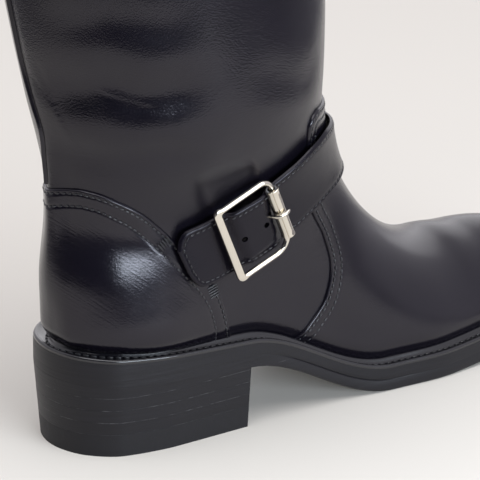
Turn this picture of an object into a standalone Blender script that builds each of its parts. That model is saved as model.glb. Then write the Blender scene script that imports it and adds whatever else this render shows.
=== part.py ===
"""Tall pull-on leather boot for the right foot, with a stacked block heel and a buckled instep strap.

The toe points along +X, the outer (lateral) side faces -Y and the floor is z = 0.  The origin is the
floor point under the middle of the heel.  Sizes below are millimetres; meshes are made in metres.
"""

import math

import bpy
import numpy as np
from mathutils import Matrix, Vector

MM = 0.001
GAP = 0.3

# Heel: three even lifts between the floor's top lift and a wedge that gives the heel seat its pitch
TOP_LIFT = 9.8
LIFT = 5.6
LIFT_COUNT = 3
WEDGE_AT_BACK = 5.8
WEDGE_AT_BREAST = 1.0
HEEL_BACK_X = -39.5
HEEL_BREAST_X = 41.0
HEEL_TAPER = 2.6
HEEL_WIDEST_X = 5.0
HEEL_COLUMNS = 25
LIFTS_HEIGHT = TOP_LIFT + LIFT * LIFT_COUNT

# Sole
OUTSOLE = 8.0
SOLE_COLUMNS = 96
WELT = 2.8
WELT_GAP = 0.5
BEAD = 1.8
BEAD_WIDTH = 2.3
LIP_WIDTH = 1.3
SOLE_TOE_X = 238.0
BALL_START_X = 116.0
BALL_END_X = 150.0
TOE_SPRING = 14.0
TOE_SPRING_POWER = 1.5

# Side of the outsole: share of its thickness, inset
OUTSOLE_PROFILE = (
    (0.0, 0.7),
    (0.12, 0.0),
    (0.9, 0.0),
    (1.0, 0.35),
)

# Edge of the sole: x, half width, sideways shift of the middle line towards the inner side
SOLE_OUTLINE = (
    (-39.5, 0.0, 0.0),
    (-34.0, 18.5, 0.0),
    (-20.0, 29.5, 0.0),
    (5.0, 33.2, 0.0),
    (45.0, 33.0, 0.0),
    (85.0, 32.0, 0.3),
    (120.0, 37.5, 3.5),
    (150.0, 43.0, 8.3),
    (180.0, 42.2, 10.8),
    (205.0, 36.5, 12.0),
    (225.0, 25.0, 13.0),
    (238.0, 0.0, 13.0),
)

# Upper: foot
TOE_X = 232.0
HEEL_X = -35.5
TOE_BOX_X = 188.0
TOE_BOX_Z = 48.0
TOE_POWER = 2.3
INSTEP_X = 168.0
INSTEP_Z = 142.0
INSTEP_REACH_X = 78.0
INSTEP_REACH_Z = 92.0
INSTEP_POWER = 1.8
ARCH_POWER = 2.2
BACK_POWER = 0.6
HEEL_ROUND = 44.0
HEEL_ROUND_TOP_Z = 90.0
HEEL_ROUND_FADE = 60.0
TUCK_HEIGHT = 10.0
TUCK_DEPTH = 4.0
UPPER_WALL = 2.2
UPPER_MIDDLE = (45.0, 4.0)

# Wall of the foot over the sole: x, half width
FOOT_OUTLINE = (
    (-40.0, 28.5),
    (5.0, 28.5),
    (45.0, 28.0),
    (85.0, 27.5),
    (120.0, 33.0),
    (150.0, 38.5),
    (180.0, 37.5),
    (203.0, 31.0),
    (221.0, 19.0),
    (232.0, 0.0),
)

# Upper: shaft
COLLAR_Z = 372.0
SHAFT_START_Z = 150.0
FOOT_END = 12.0

# Middle of the back: z, x
BACK_LINE = (
    (36.0, -35.5),
    (57.0, -36.5),
    (75.0, -38.0),
    (98.0, -37.0),
    (112.0, -37.2),
    (128.0, -38.8),
    (150.0, -43.5),
    (173.0, -48.5),
    (207.0, -55.5),
    (260.0, -64.0),
    (320.0, -70.0),
    (372.0, -72.0),
)

# Middle of the shaft's front: z, x
FRONT_LINE = (
    (142.0, 90.0),
    (175.0, 89.5),
    (207.0, 87.0),
    (260.0, 87.0),
    (320.0, 90.0),
    (372.0, 91.0),
)

# Shaft: z, half width
SHAFT_WIDTH = (
    (60.0, 35.0),
    (100.0, 40.0),
    (130.0, 47.0),
    (160.0, 51.5),
    (210.0, 55.0),
    (280.0, 58.0),
    (372.0, 60.0),
)

# Levels of the upper: place on the front line, height at the back, how far the level sags to the sole.
# The front line runs 0 to 1 up the toe, to 2 along the vamp, to 3 up the instep, to 4 up the shaft.
LEVELS = (
    (0.012, 0.8, 1.0),
    (0.052, 2.7, 1.0),
    (0.107, 5.4, 1.0),
    (0.22, 11.0, 1.0),
    (0.36, 17.0, 1.0),
    (0.52, 23.0, 1.0),
    (0.70, 29.0, 1.05),
    (0.88, 35.5, 1.15),
    (1.05, 42.0, 1.25),
    (1.50, 49.0, 1.4),
    (2.00, 56.0, 1.5),
    (2.20, 62.0, 1.4),
    (2.40, 69.0, 1.15),
    (2.58, 76.0, 0.8),
    (2.74, 84.0, 0.5),
    (2.88, 92.0, 0.25),
    (3.00, 101.0, 0.1),
    (3.05, 112.0, 0.0),
    (3.13, 129.0, 0.0),
    (3.25, 157.0, 0.0),
    (3.40, 192.0, 0.0),
    (3.58, 234.0, 0.0),
    (3.78, 280.0, 0.0),
    (4.00, 331.0, 0.0),
)
UPPER_COLUMNS = 48

# Overlays
OVERLAY = 1.2
OVERLAY_GAP = 0.4
OVERLAY_FOOT_LEVEL = 2
CUT_REACH = 90.0
CUT_STEPS = 20

# Rear edge of the vamp, from the welt to the tab at the top: x, z
VAMP_EDGE = (
    (62.0, 30.0),
    (73.6, 37.2),
    (82.8, 48.7),
    (85.5, 61.0),
    (81.5, 75.4),
    (74.2, 88.2),
    (68.5, 104.0),
    (65.5, 120.5),
    (65.0, 129.5),
    (69.5, 134.5),
)
VAMP_TOP_Z = 136.0
VAMP_FRONT_X = 260.0
VAMP_TOP_LEVEL = 19

# Top edge of the counter, from the back seam to its front corner: x, z
COUNTER_EDGE = (
    (-37.0, 116.5),
    (-27.8, 113.6),
    (-20.3, 109.3),
    (-11.4, 103.8),
    (-5.2, 98.8),
    (0.8, 93.4),
    (13.0, 80.0),
    (25.0, 66.0),
)
COUNTER_FRONT_X = 33.0
COUNTER_FRONT_Z = 43.0
COUNTER_FOOT_X = 37.0
COUNTER_BACK_X = -60.0
COUNTER_TOP_LEVEL = 18

# Strap from its tip to the middle of the instep: lower x, lower z, upper x, upper z, height off the upper
STRAP_EDGES = (
    (7.4, 76.8, 3.0, 87.0, 2.8),
    (11.2, 71.8, 4.2, 92.2, 2.8),
    (15.0, 70.0, 6.5, 95.0, 2.7),
    (24.0, 71.5, 16.0, 98.6, 2.7),
    (32.5, 74.3, 25.5, 102.8, 2.9),
    (46.0, 79.8, 39.5, 109.4, 2.8),
    (59.0, 85.5, 53.0, 116.4, 2.5),
    (71.8, 91.2, 66.0, 122.5, 2.7),
    (83.9, 95.5, 77.0, 125.0, 2.8),
    (94.0, 97.5, 86.0, 124.2, 2.8),
    (103.0, 98.5, 92.9, 121.7, 2.8),
)
STRAP_THICKNESS = 2.6
STRAP_STATIONS = 18
STRAP_ACROSS = 4
STRAP_INNER_END = 2.6
STRAP_INNER_HEIGHT = 2.8
STRAP_TIP_STATIONS = (0.0, 0.5, 1.0, 1.5)
HOLE_PLACES = (-7.3, 0.7, 8.7)
HOLE_ACROSS = 0.6
HOLE_RADIUS = 1.3
PRONG_HOLE_RADIUS = 2.2
HOLE_SIDES = 12
HOLE_CUT_DEPTH = 14.0
HOLE_CUT_OUT = -4.0

# Buckle: seen from outside, "along" runs up the strap to the instep and "across" runs to its upper edge
BUCKLE_CENTRE = (35.5, -41.35, 91.0)
BUCKLE_ALONG = (0.888, -0.092, 0.451)
BUCKLE_ACROSS = (-0.46, -0.178, 0.87)
BUCKLE_LENGTH = 29.5
BUCKLE_WIDTH = 38.6
BUCKLE_CORNER = 3.6
BUCKLE_CORNER_STEPS = 4
BUCKLE_BAR = 1.6
ROLLER_RADIUS = 2.6
ROLLER_WALL = 0.6
ROLLER_LENGTH = 25.0
ROLLER_SIDES = 16
PRONG_RADIUS = 1.1
# Prong from the strap's hole over the roller: along, out
PRONG_PATH = (
    (7.8, -4.6),
    (8.0, -1.6),
    (9.0, 0.8),
    (10.4, 3.0),
    (11.8, 3.95),
    (13.2, 4.15),
    (14.8, 3.85),
    (16.3, 2.85),
)

# Raised seam up the middle of the shaft's back
SEAM_WIDTH = 3.4
SEAM_THICKNESS = 0.9
SEAM_START_LEVEL = 16.6
SEAM_END_LEVEL = 22.99
# How far the seam leans to the inner side: level, degrees round from the middle of the back
SEAM_LEAN = (
    (16.0, 3.5),
    (17.0, 6.0),
    (18.0, 9.0),
    (23.0, 9.0),
)

INSOLE = 3.0
INSOLE_INSET = 3.3

SEARCH_STEPS = 40
TINY = 1e-6


# Curves and blends


def smooth_curve(table, column, at):
    """Smooth curve through one column of a table whose first column is the place; level past its ends."""
    places = np.array([row[0] for row in table], float)
    values = np.array([row[column] for row in table], float)
    steps = np.diff(places)
    slopes = np.diff(values) / steps
    tangents = np.zeros(len(places))
    tangents[0] = slopes[0]
    tangents[-1] = slopes[-1]
    for i in range(1, len(places) - 1):
        if slopes[i - 1] * slopes[i] > 0:
            near = 2 * steps[i] + steps[i - 1]
            far = steps[i] + 2 * steps[i - 1]
            tangents[i] = (near + far) / (near / slopes[i - 1] + far / slopes[i])
    at = np.clip(np.asarray(at, float), places[0], places[-1])
    i = np.clip(np.searchsorted(places, at, side="right") - 1, 0, len(places) - 2)
    t = (at - places[i]) / steps[i]
    start = (1 + 2 * t) * (1 - t) ** 2 * values[i] + t * (1 - t) ** 2 * steps[i] * tangents[i]
    end = t * t * (3 - 2 * t) * values[i + 1] + t * t * (t - 1) * steps[i] * tangents[i + 1]
    return start + end


def round_ended_curve(table, column, at):
    """Half width through a table; its squares are joined, so that an end at nought is round."""
    squares = [(row[0], row[column] ** 2) for row in table]
    return np.sqrt(np.maximum(smooth_curve(squares, 1, at), 0.0))


def mix(a, b, t):
    return a + (b - a) * t


def ease(t):
    t = np.clip(t, 0.0, 1.0)
    return t * t * (3 - 2 * t)


# Sole


def swing(x):
    """Sideways place of the foot's middle line: the left-right curve of the last."""
    return smooth_curve(SOLE_OUTLINE, 2, x)


def sole_bottom(x):
    """Height of the outsole's underside: pitched heel seat, waist, flat ball and toe spring."""
    x = np.asarray(x, float)
    at_back = LIFTS_HEIGHT + WEDGE_AT_BACK
    at_breast = LIFTS_HEIGHT + WEDGE_AT_BREAST
    pitch = (at_breast - at_back) / (HEEL_BREAST_X - HEEL_BACK_X)
    seat = at_back + pitch * (x - HEEL_BACK_X)
    run = BALL_START_X - HEEL_BREAST_X
    t = np.clip((x - HEEL_BREAST_X) / run, 0.0, 1.0)
    waist = (1 + 2 * t) * (1 - t) ** 2 * at_breast + t * (1 - t) ** 2 * run * pitch
    t = np.clip((x - BALL_END_X) / (SOLE_TOE_X - BALL_END_X), 0.0, 1.0)
    spring = TOE_SPRING * t ** TOE_SPRING_POWER
    return np.where(x < HEEL_BREAST_X, seat, np.where(x < BALL_START_X, waist, spring))


def feather(x):
    """Height of the upper's lower edge, just over the outsole."""
    return sole_bottom(x) + OUTSOLE + GAP


def sole_edge(angle, inset=0.0):
    """Plan point on the sole's edge: angle 0 at the toe, growing round the lateral side to the back."""
    x = mix(SOLE_TOE_X, HEEL_BACK_X, (1 - np.cos(angle)) / 2)
    half = round_ended_curve(SOLE_OUTLINE, 1, x)
    y = swing(x) - np.where(np.sin(angle) >= 0, half, -half)
    return x - inset * np.cos(angle), y + inset * np.sin(angle)


# Upper


def vamp_height(x):
    """Height of the vamp's ridge between the instep and the toe tip."""
    x = np.asarray(x, float)
    low = INSTEP_Z - INSTEP_REACH_Z
    along = mix(low, TOE_BOX_Z, ease((x - INSTEP_X) / (TOE_BOX_X - INSTEP_X)))
    t = np.clip((x - TOE_BOX_X) / (TOE_X - TOE_BOX_X), 0.0, 1.0)
    floor = feather(TOE_X)
    toe = floor + (TOE_BOX_Z - floor) * np.maximum(1 - t ** TOE_POWER, 0.0) ** (1 / TOE_POWER)
    return np.where(x < TOE_BOX_X, along, toe)


def front_point(place):
    """x and z of the middle front at a place: 0 to 1 toe, to 2 vamp, to 3 instep, to 4 shaft."""
    place = np.asarray(place, float)
    floor = feather(TOE_X)
    turn = np.clip(place, 0.0, 1.0) * math.pi / 2
    toe_x = TOE_BOX_X + (TOE_X - TOE_BOX_X) * np.maximum(np.cos(turn), 0.0) ** (2 / TOE_POWER)
    toe_z = floor + (TOE_BOX_Z - floor) * np.maximum(np.sin(turn), 0.0) ** (2 / TOE_POWER)
    vamp_x = mix(TOE_BOX_X, INSTEP_X, np.clip(place - 1, 0.0, 1.0))
    turn = np.clip(place - 2, 0.0, 1.0) * math.pi / 2
    instep_x = INSTEP_X - INSTEP_REACH_X * np.maximum(np.sin(turn), 0.0) ** (2 / INSTEP_POWER)
    instep_z = INSTEP_Z - INSTEP_REACH_Z * np.maximum(np.cos(turn), 0.0) ** (2 / INSTEP_POWER)
    shaft_z = mix(INSTEP_Z, COLLAR_Z, np.clip(place - 3, 0.0, 1.0))
    shaft_x = smooth_curve(FRONT_LINE, 1, shaft_z)
    pick = [place < 1, place < 2, place < 3]
    x = np.select(pick, [toe_x, vamp_x, instep_x], shaft_x)
    z = np.select(pick, [toe_z, vamp_height(vamp_x), instep_z], shaft_z)
    return x, z


def rounding(share, power):
    share = np.clip(share, 0.0, 1.0)
    return np.maximum(1 - (1 - share) ** ARCH_POWER, 0.0) ** power


def half_width(x, z):
    """Half width of the upper at a place in the side view."""
    floor = feather(x)
    rise = (z - floor - FOOT_END) / (SHAFT_START_Z - floor - FOOT_END)
    foot = round_ended_curve(FOOT_OUTLINE, 1, x)
    side = mix(foot, smooth_curve(SHAFT_WIDTH, 1, z), ease(rise))
    back_x = smooth_curve(BACK_LINE, 1, z)
    shaft_front = smooth_curve(FRONT_LINE, 1, z)
    shaft_half = (shaft_front - back_x) / 2
    # Depth below the front line: level over the instep, straight down on the vamp, turning in between
    over_x = np.maximum(INSTEP_X - x, 0.0)
    under_z = np.maximum(INSTEP_Z - z, 0.0)
    reach = (over_x / INSTEP_REACH_X) ** INSTEP_POWER + (under_z / INSTEP_REACH_Z) ** INSTEP_POWER
    reach = np.maximum(reach ** (1 / INSTEP_POWER), TINY)
    turning = np.hypot(over_x, under_z) * (1 - 1 / reach)
    ridge = vamp_height(x)
    depth = np.where(z >= INSTEP_Z, shaft_front - x, np.where(x >= INSTEP_X, ridge - z, turning))
    turn = np.arctan2(under_z, over_x) / (math.pi / 2)
    vamp_x = np.maximum(x, INSTEP_X)
    vamp_depth = np.maximum(vamp_height(vamp_x) - feather(vamp_x), TINY)
    full = mix(shaft_half, vamp_depth, ease(turn))
    full = np.where(z >= INSTEP_Z, shaft_half, np.where(x >= INSTEP_X, vamp_depth, full))
    back_full = mix(HEEL_ROUND, shaft_half, ease((z - HEEL_ROUND_TOP_Z) / HEEL_ROUND_FADE))
    return side * rounding(depth / full, 0.5) * rounding((x - back_x) / back_full, BACK_POWER)


def level_values(level):
    rows = [(i, *row) for i, row in enumerate(LEVELS)]
    return [smooth_curve(rows, column, level) for column in (1, 2, 3)]


def upper_point(angle, level):
    """Point of the upper's outer face: angle 0 at the toe, growing round the lateral side to the back."""
    angle, level = np.broadcast_arrays(np.asarray(angle, float), np.asarray(level, float))
    place, back_height, sag = level_values(level)
    front_x, front_z = front_point(place)
    back_z = feather(HEEL_X) + back_height
    back_x = smooth_curve(BACK_LINE, 1, back_z)
    t = (1 - np.cos(angle)) / 2
    x = mix(front_x, back_x, t)
    dip = feather(x) - mix(feather(front_x), feather(back_x), t)
    z = mix(front_z, back_z, t) + sag * dip
    half = half_width(x, z)
    y = swing(x) - np.where(np.sin(angle) >= 0, half, -half)
    tuck = TUCK_DEPTH * np.clip(1 - (z - feather(x)) / TUCK_HEIGHT, 0.0, 1.0) ** 2
    return np.stack([x - tuck * np.cos(angle), y + tuck * np.sin(angle), z], axis=-1)


def upper_normal(angle, level):
    """Outward direction of the upper's face."""
    turn = 0.01
    step = 0.05
    top = len(LEVELS) - 1
    above = np.clip(np.asarray(level, float) + step, 0.0, top)
    below = np.clip(np.asarray(level, float) - step, 0.0, top)
    around = upper_point(angle + turn, level) - upper_point(angle - turn, level)
    rising = upper_point(angle, above) - upper_point(angle, below)
    normal = np.cross(rising, around)
    return normal / np.linalg.norm(normal, axis=-1, keepdims=True)


def over_upper(angle, level, height):
    """Point at a height off the upper's outer face."""
    lift = np.asarray(height, float)[..., None]
    return upper_point(angle, level) + upper_normal(angle, level) * lift


def locate(x, z):
    """Angle and level of the lateral point of the upper that has this x and z in the side view."""
    low = np.zeros_like(np.asarray(x, float))
    high = np.full_like(low, len(LEVELS) - 1.0)
    angle = low
    for _ in range(SEARCH_STEPS):
        level = (low + high) / 2
        place, back_height, _sag = level_values(level)
        front_x, _front_z = front_point(place)
        back_x = smooth_curve(BACK_LINE, 1, feather(HEEL_X) + back_height)
        share = np.clip((front_x - x) / (front_x - back_x), 0.0, 1.0)
        angle = np.arccos(1 - 2 * share)
        under = upper_point(angle, level)[..., 2] < z
        low = np.where(under, level, low)
        high = np.where(under, high, level)
    return angle, (low + high) / 2


def level_at_height(height):
    """Level whose back stands this far over the sole; for the tucked foot of the upper."""
    rows = [(row[1], i) for i, row in enumerate(LEVELS)]
    return smooth_curve(rows, 1, height)


# Meshes


def make_object(name, points, faces, material, collection):
    mesh = bpy.data.meshes.new(name)
    scaled = [tuple(float(v) * MM for v in point) for point in points]
    mesh.from_pydata(scaled, [], [tuple(int(i) for i in face) for face in faces])
    mesh.materials.append(material)
    mesh.validate()
    obj = bpy.data.objects.new(name, mesh)
    collection.objects.link(obj)
    return obj


def sheet(name, grid, wraps, material, collection):
    """Open sheet of triangles through a grid of points; the columns close on themselves where it wraps."""
    rows, columns = grid.shape[:2]
    last = columns if wraps else columns - 1
    faces = []
    for i in range(rows - 1):
        for j in range(last):
            k = (j + 1) % columns
            below = i * columns
            above = below + columns
            faces.append((below + j, below + k, above + k))
            faces.append((below + j, above + k, above + j))
    return make_object(name, grid.reshape(-1, 3), faces, material, collection)


def thicken(obj, thickness, offset):
    """Gives a sheet its thickness: offset 1 grows it along its normals, -1 against them."""
    modifier = obj.modifiers.new("Thickness", "SOLIDIFY")
    modifier.thickness = thickness * MM
    modifier.offset = offset
    modifier.use_quality_normals = True


def ladder(name, rings, material, collection):
    """Solid between stacked rings, whose first and last are closed by rungs from side to side."""
    rings = np.asarray(rings)
    count, columns = rings.shape[:2]
    faces = []
    for i in range(count - 1):
        for j in range(columns):
            k = (j + 1) % columns
            faces.append((i * columns + j, i * columns + k, (i + 1) * columns + k, (i + 1) * columns + j))
    top = (count - 1) * columns
    half = columns // 2
    for j in range(half):
        near = (j + 1) % columns
        other = (columns - j) % columns
        across = columns - j - 1
        corners = [j, near, across, other]
        corners = list(dict.fromkeys(corners))
        if len(corners) > 2:
            faces.append(tuple(reversed(corners)))
            faces.append(tuple(top + i for i in corners))
    return make_object(name, rings.reshape(-1, 3), faces, material, collection)


def face_outwards(obj):
    """Turns the faces of a closed mesh to the outside."""
    bpy.ops.object.select_all(action="DESELECT")
    obj.select_set(True)
    bpy.context.view_layer.objects.active = obj
    bpy.ops.object.mode_set(mode="EDIT")
    bpy.ops.mesh.select_all(action="SELECT")
    bpy.ops.mesh.normals_make_consistent(inside=False)
    bpy.ops.object.mode_set(mode="OBJECT")


def tube(name, path, radius, closed, material, collection):
    """Round bar along a path."""
    curve = bpy.data.curves.new(name, "CURVE")
    curve.dimensions = "3D"
    curve.bevel_depth = radius * MM
    curve.bevel_resolution = 2
    curve.use_fill_caps = True
    spline = curve.splines.new("POLY")
    spline.points.add(len(path) - 1)
    for point, place in zip(spline.points, path):
        point.co = (place[0] * MM, place[1] * MM, place[2] * MM, 1.0)
    spline.use_cyclic_u = closed
    curve.materials.append(material)
    obj = bpy.data.objects.new(name, curve)
    collection.objects.link(obj)
    return obj


def make_material(name, colour, metallic, roughness):
    material = bpy.data.materials.new(name)
    material.use_nodes = True
    shader = material.node_tree.nodes["Principled BSDF"]
    shader.inputs["Base Color"].default_value = (*colour, 1.0)
    shader.inputs["Metallic"].default_value = metallic
    shader.inputs["Roughness"].default_value = roughness
    return material


# Pieces


def ring_angles(count):
    return np.linspace(0.0, 2 * math.pi, count, endpoint=False)


def build_outsole(material, collection):
    angles = ring_angles(SOLE_COLUMNS)
    rings = []
    for share, inset in OUTSOLE_PROFILE:
        x, y = sole_edge(angles, inset)
        rings.append(np.stack([x, y, sole_bottom(x) + share * OUTSOLE], axis=-1))
    face_outwards(ladder("outsole", rings, material, collection))


def build_welt(material, collection):
    """Flat strip round the upper's foot with a raised bead inside and a rounded lip outside."""
    angles = ring_angles(SOLE_COLUMNS)
    outward = np.stack([np.cos(angles), -np.sin(angles)], axis=-1)
    edge = np.stack(sole_edge(angles), axis=-1)
    foot = upper_point(angles, np.zeros_like(angles))[:, :2] + outward * WELT_GAP
    top = upper_point(angles, np.full_like(angles, level_at_height(WELT + BEAD)))[:, :2] + outward * WELT_GAP
    reach = edge - top
    across = reach / np.linalg.norm(reach, axis=-1, keepdims=True)
    profile = (
        (foot, 0.0),
        (top, WELT + BEAD),
        (top + across * BEAD_WIDTH / 2, WELT + BEAD),
        (top + across * BEAD_WIDTH, WELT),
        (edge - across * LIP_WIDTH, WELT),
        (edge, WELT - LIP_WIDTH / 2),
        (edge, 0.0),
    )
    rings = []
    for plan, height in profile:
        rings.append(np.column_stack([plan, feather(plan[:, 0]) + height]))
    columns = len(angles)
    count = len(rings)
    faces = []
    for i in range(count):
        below = i * columns
        above = ((i + 1) % count) * columns
        for j in range(columns):
            k = (j + 1) % columns
            faces.append((below + j, below + k, above + k, above + j))
    face_outwards(make_object("welt", np.concatenate(rings), faces, material, collection))


def build_insole(material, collection):
    angles = ring_angles(SOLE_COLUMNS)
    foot = upper_point(angles, np.zeros_like(angles))
    x = foot[:, 0] - INSOLE_INSET * np.cos(angles)
    y = foot[:, 1] + INSOLE_INSET * np.sin(angles)
    rings = [np.column_stack([x, y, feather(x) + height]) for height in (0.0, INSOLE)]
    face_outwards(ladder("insole", rings, material, collection))


def heel_ring(height):
    """Ring of the heel at a height given as a function of x: straight breast, rounded back."""
    share = np.linspace(0.0, 1.0, HEEL_COLUMNS)
    x = mix(HEEL_BREAST_X, HEEL_BACK_X, np.sin(math.pi * share))
    half = round_ended_curve(SOLE_OUTLINE, 1, x)
    z = height(x)
    taper = HEEL_TAPER * np.clip(1 - z / (LIFTS_HEIGHT + WEDGE_AT_BACK), 0.0, 1.0)
    widest = round_ended_curve(SOLE_OUTLINE, 1, HEEL_WIDEST_X)
    y = np.where(share <= 0.5, -half, half) * (widest - taper) / widest
    pulled = mix(HEEL_BREAST_X, x, 1 - taper / (HEEL_BREAST_X - HEEL_BACK_X))
    return np.column_stack([pulled, y, z])


def build_heel(lift_material, tread_material, collection):
    columns = HEEL_COLUMNS
    faces = []
    for j in range(columns):
        k = (j + 1) % columns
        faces.append((j, k, columns + k, columns + j))
    for j in range(columns // 2):
        corners = list(dict.fromkeys([j, j + 1, columns - j - 2, columns - j - 1]))
        faces.append(tuple(reversed(corners)))
        faces.append(tuple(columns + i for i in corners))

    def add(name, low, high, material):
        rings = np.stack([heel_ring(low), heel_ring(high)])
        face_outwards(make_object(name, rings.reshape(-1, 3), faces, material, collection))

    add("top_lift", lambda x: 0.0 * x, lambda x: 0.0 * x + TOP_LIFT - GAP, tread_material)
    for number in range(LIFT_COUNT):
        base = TOP_LIFT + number * LIFT
        add(
            f"heel_lift_{number + 1}",
            lambda x, z=base: 0.0 * x + z,
            lambda x, z=base + LIFT - GAP: 0.0 * x + z,
            lift_material,
        )
    add("heel_wedge", lambda x: 0.0 * x + LIFTS_HEIGHT, lambda x: sole_bottom(x) - GAP, lift_material)


def build_upper(material, collection):
    levels = np.arange(len(LEVELS), dtype=float)
    angle, level = np.meshgrid(ring_angles(UPPER_COLUMNS), levels)
    obj = sheet("upper", upper_point(angle, level), True, material, collection)
    face_outwards_sheet(obj)
    thicken(obj, UPPER_WALL, -1.0)


def face_outwards_sheet(obj):
    """Turns an open sheet's faces away from the upper's inside."""
    mesh = obj.data
    votes = 0.0
    for polygon in mesh.polygons:
        away_x = polygon.center.x - UPPER_MIDDLE[0] * MM
        away_y = polygon.center.y - UPPER_MIDDLE[1] * MM
        votes += polygon.normal.dot(Vector((away_x, away_y, 0.0)))
    if votes < 0:
        mesh.flip_normals()


def keep_cutter(cutter, cutters):
    """Puts a cutting form away in its own collection, out of the finished boot."""
    cutter.hide_render = True
    cutter.display_type = "WIRE"
    for holder in list(cutter.users_collection):
        holder.objects.unlink(cutter)
    cutters.objects.link(cutter)


def cut(obj, cutter, operation):
    modifier = obj.modifiers.new(cutter.name, "BOOLEAN")
    modifier.operation = operation
    modifier.solver = "EXACT"
    modifier.object = cutter


def overlay(name, outline, top_level, material, collection, cutters):
    """Panel over the upper: a shell off the upper's own face, kept inside an outline in the side view."""
    levels = np.arange(OVERLAY_FOOT_LEVEL, top_level + 1, dtype=float)
    angle, level = np.meshgrid(ring_angles(UPPER_COLUMNS), levels)
    grid = over_upper(angle, level, np.full(angle.shape, OVERLAY_GAP))
    obj = sheet(name, grid, True, material, collection)
    face_outwards_sheet(obj)
    thicken(obj, OVERLAY, 1.0)
    count = len(outline)
    sides = [[(x, y, z) for x, z in outline] for y in (-CUT_REACH, CUT_REACH)]
    faces = [tuple(range(count)), tuple(range(2 * count - 1, count - 1, -1))]
    for j in range(count):
        k = (j + 1) % count
        faces.append((j, k, count + k, count + j))
    cutter = make_object(f"{name}_outline", sides[0] + sides[1], faces, material, cutters)
    face_outwards(cutter)
    keep_cutter(cutter, cutters)
    cut(obj, cutter, "INTERSECT")


def build_vamp(material, collection, cutters):
    """Front overlay from the welt to the tab on the shaft's front, rounded at the tab's corners."""
    heights = np.linspace(VAMP_EDGE[0][1], VAMP_EDGE[-1][1], CUT_STEPS)
    by_height = [(z, x) for x, z in VAMP_EDGE]
    outline = [(float(smooth_curve(by_height, 1, z)), float(z)) for z in heights]
    top = (VAMP_EDGE[-1][0] + VAMP_TOP_Z - VAMP_EDGE[-1][1], VAMP_TOP_Z)
    outline += [top, (VAMP_FRONT_X, VAMP_TOP_Z), (VAMP_FRONT_X, 0.0), (VAMP_EDGE[0][0], 0.0)]
    overlay("vamp", outline, VAMP_TOP_LEVEL, material, collection, cutters)


def build_counter(material, collection, cutters):
    """Heel overlay that sweeps from the back of the ankle down to the waist on both sides."""
    places = np.linspace(COUNTER_EDGE[0][0], COUNTER_EDGE[-1][0], CUT_STEPS)
    outline = [(float(x), float(smooth_curve(COUNTER_EDGE, 1, x))) for x in places]
    outline += [(COUNTER_FRONT_X, COUNTER_FRONT_Z), (COUNTER_FOOT_X, 0.0)]
    outline += [(COUNTER_BACK_X, 0.0), (COUNTER_BACK_X, COUNTER_EDGE[0][1])]
    overlay("counter", outline, COUNTER_TOP_LEVEL, material, collection, cutters)


def build_back_seam(material, collection):
    """Raised seam up the middle of the shaft's back, from the counter to the collar."""
    stops = [float(level) for level in range(len(LEVELS)) if SEAM_START_LEVEL < level < SEAM_END_LEVEL]
    levels = np.array([SEAM_START_LEVEL, *stops, SEAM_END_LEVEL])
    spread = 0.5 * SEAM_WIDTH / smooth_curve(SHAFT_WIDTH, 1, upper_point(math.pi, levels)[:, 2])
    share = np.array([-1.0, 0.0, 1.0])
    middle = math.pi + np.radians(smooth_curve(SEAM_LEAN, 1, levels))
    angle = middle[:, None] + spread[:, None] * share[None, :]
    level = np.repeat(levels[:, None], len(share), axis=1)
    grid = over_upper(angle, level, np.full(angle.shape, OVERLAY_GAP))
    obj = sheet("back_seam", grid, False, material, collection)
    face_outwards_sheet(obj)
    thicken(obj, SEAM_THICKNESS, 1.0)


def strap_grid():
    """Inner face of the strap from its tip, over the instep, to its end on the inner side."""
    table = np.array(STRAP_EDGES)
    ridge = len(STRAP_EDGES) - 1.0
    share = np.linspace(0.0, 1.0, STRAP_ACROSS + 1)
    x = mix(table[:, :1], table[:, 2:3], share)
    z = mix(table[:, 1:2], table[:, 3:4], share)
    angles, levels = locate(x, z)
    angles[-1] = 0.0
    outer = np.concatenate([STRAP_TIP_STATIONS, np.linspace(2.0, ridge, STRAP_STATIONS)])
    inner = np.linspace(ridge, STRAP_INNER_END, STRAP_STATIONS - 2)[1:]
    stations = np.concatenate([outer, inner])
    side = np.concatenate([np.ones(len(outer)), -np.ones(len(inner))])
    angle = []
    level = []
    for column in range(len(share)):
        angle.append(side * smooth_curve(list(enumerate(angles[:, column])), 1, stations))
        level.append(smooth_curve(list(enumerate(levels[:, column])), 1, stations))
    height = smooth_curve(list(enumerate(table[:, 4])), 1, stations)
    height = np.where(side > 0, height, np.minimum(height, STRAP_INNER_HEIGHT))
    heights = np.repeat(height[:, None], len(share), axis=1)
    return over_upper(np.stack(angle, axis=1), np.stack(level, axis=1), heights)


def buckle_frame_matrix():
    along = Vector(BUCKLE_ALONG).normalized()
    across = Vector(BUCKLE_ACROSS)
    across = (across - along * across.dot(along)).normalized()
    out = across.cross(along).normalized()
    if out.y > 0:
        out = -out
    return along, across, out


def buckle_place(along_mm, across_mm, out_mm):
    along, across, out = buckle_frame_matrix()
    return tuple(Vector(BUCKLE_CENTRE) + along * along_mm + across * across_mm + out * out_mm)


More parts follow.
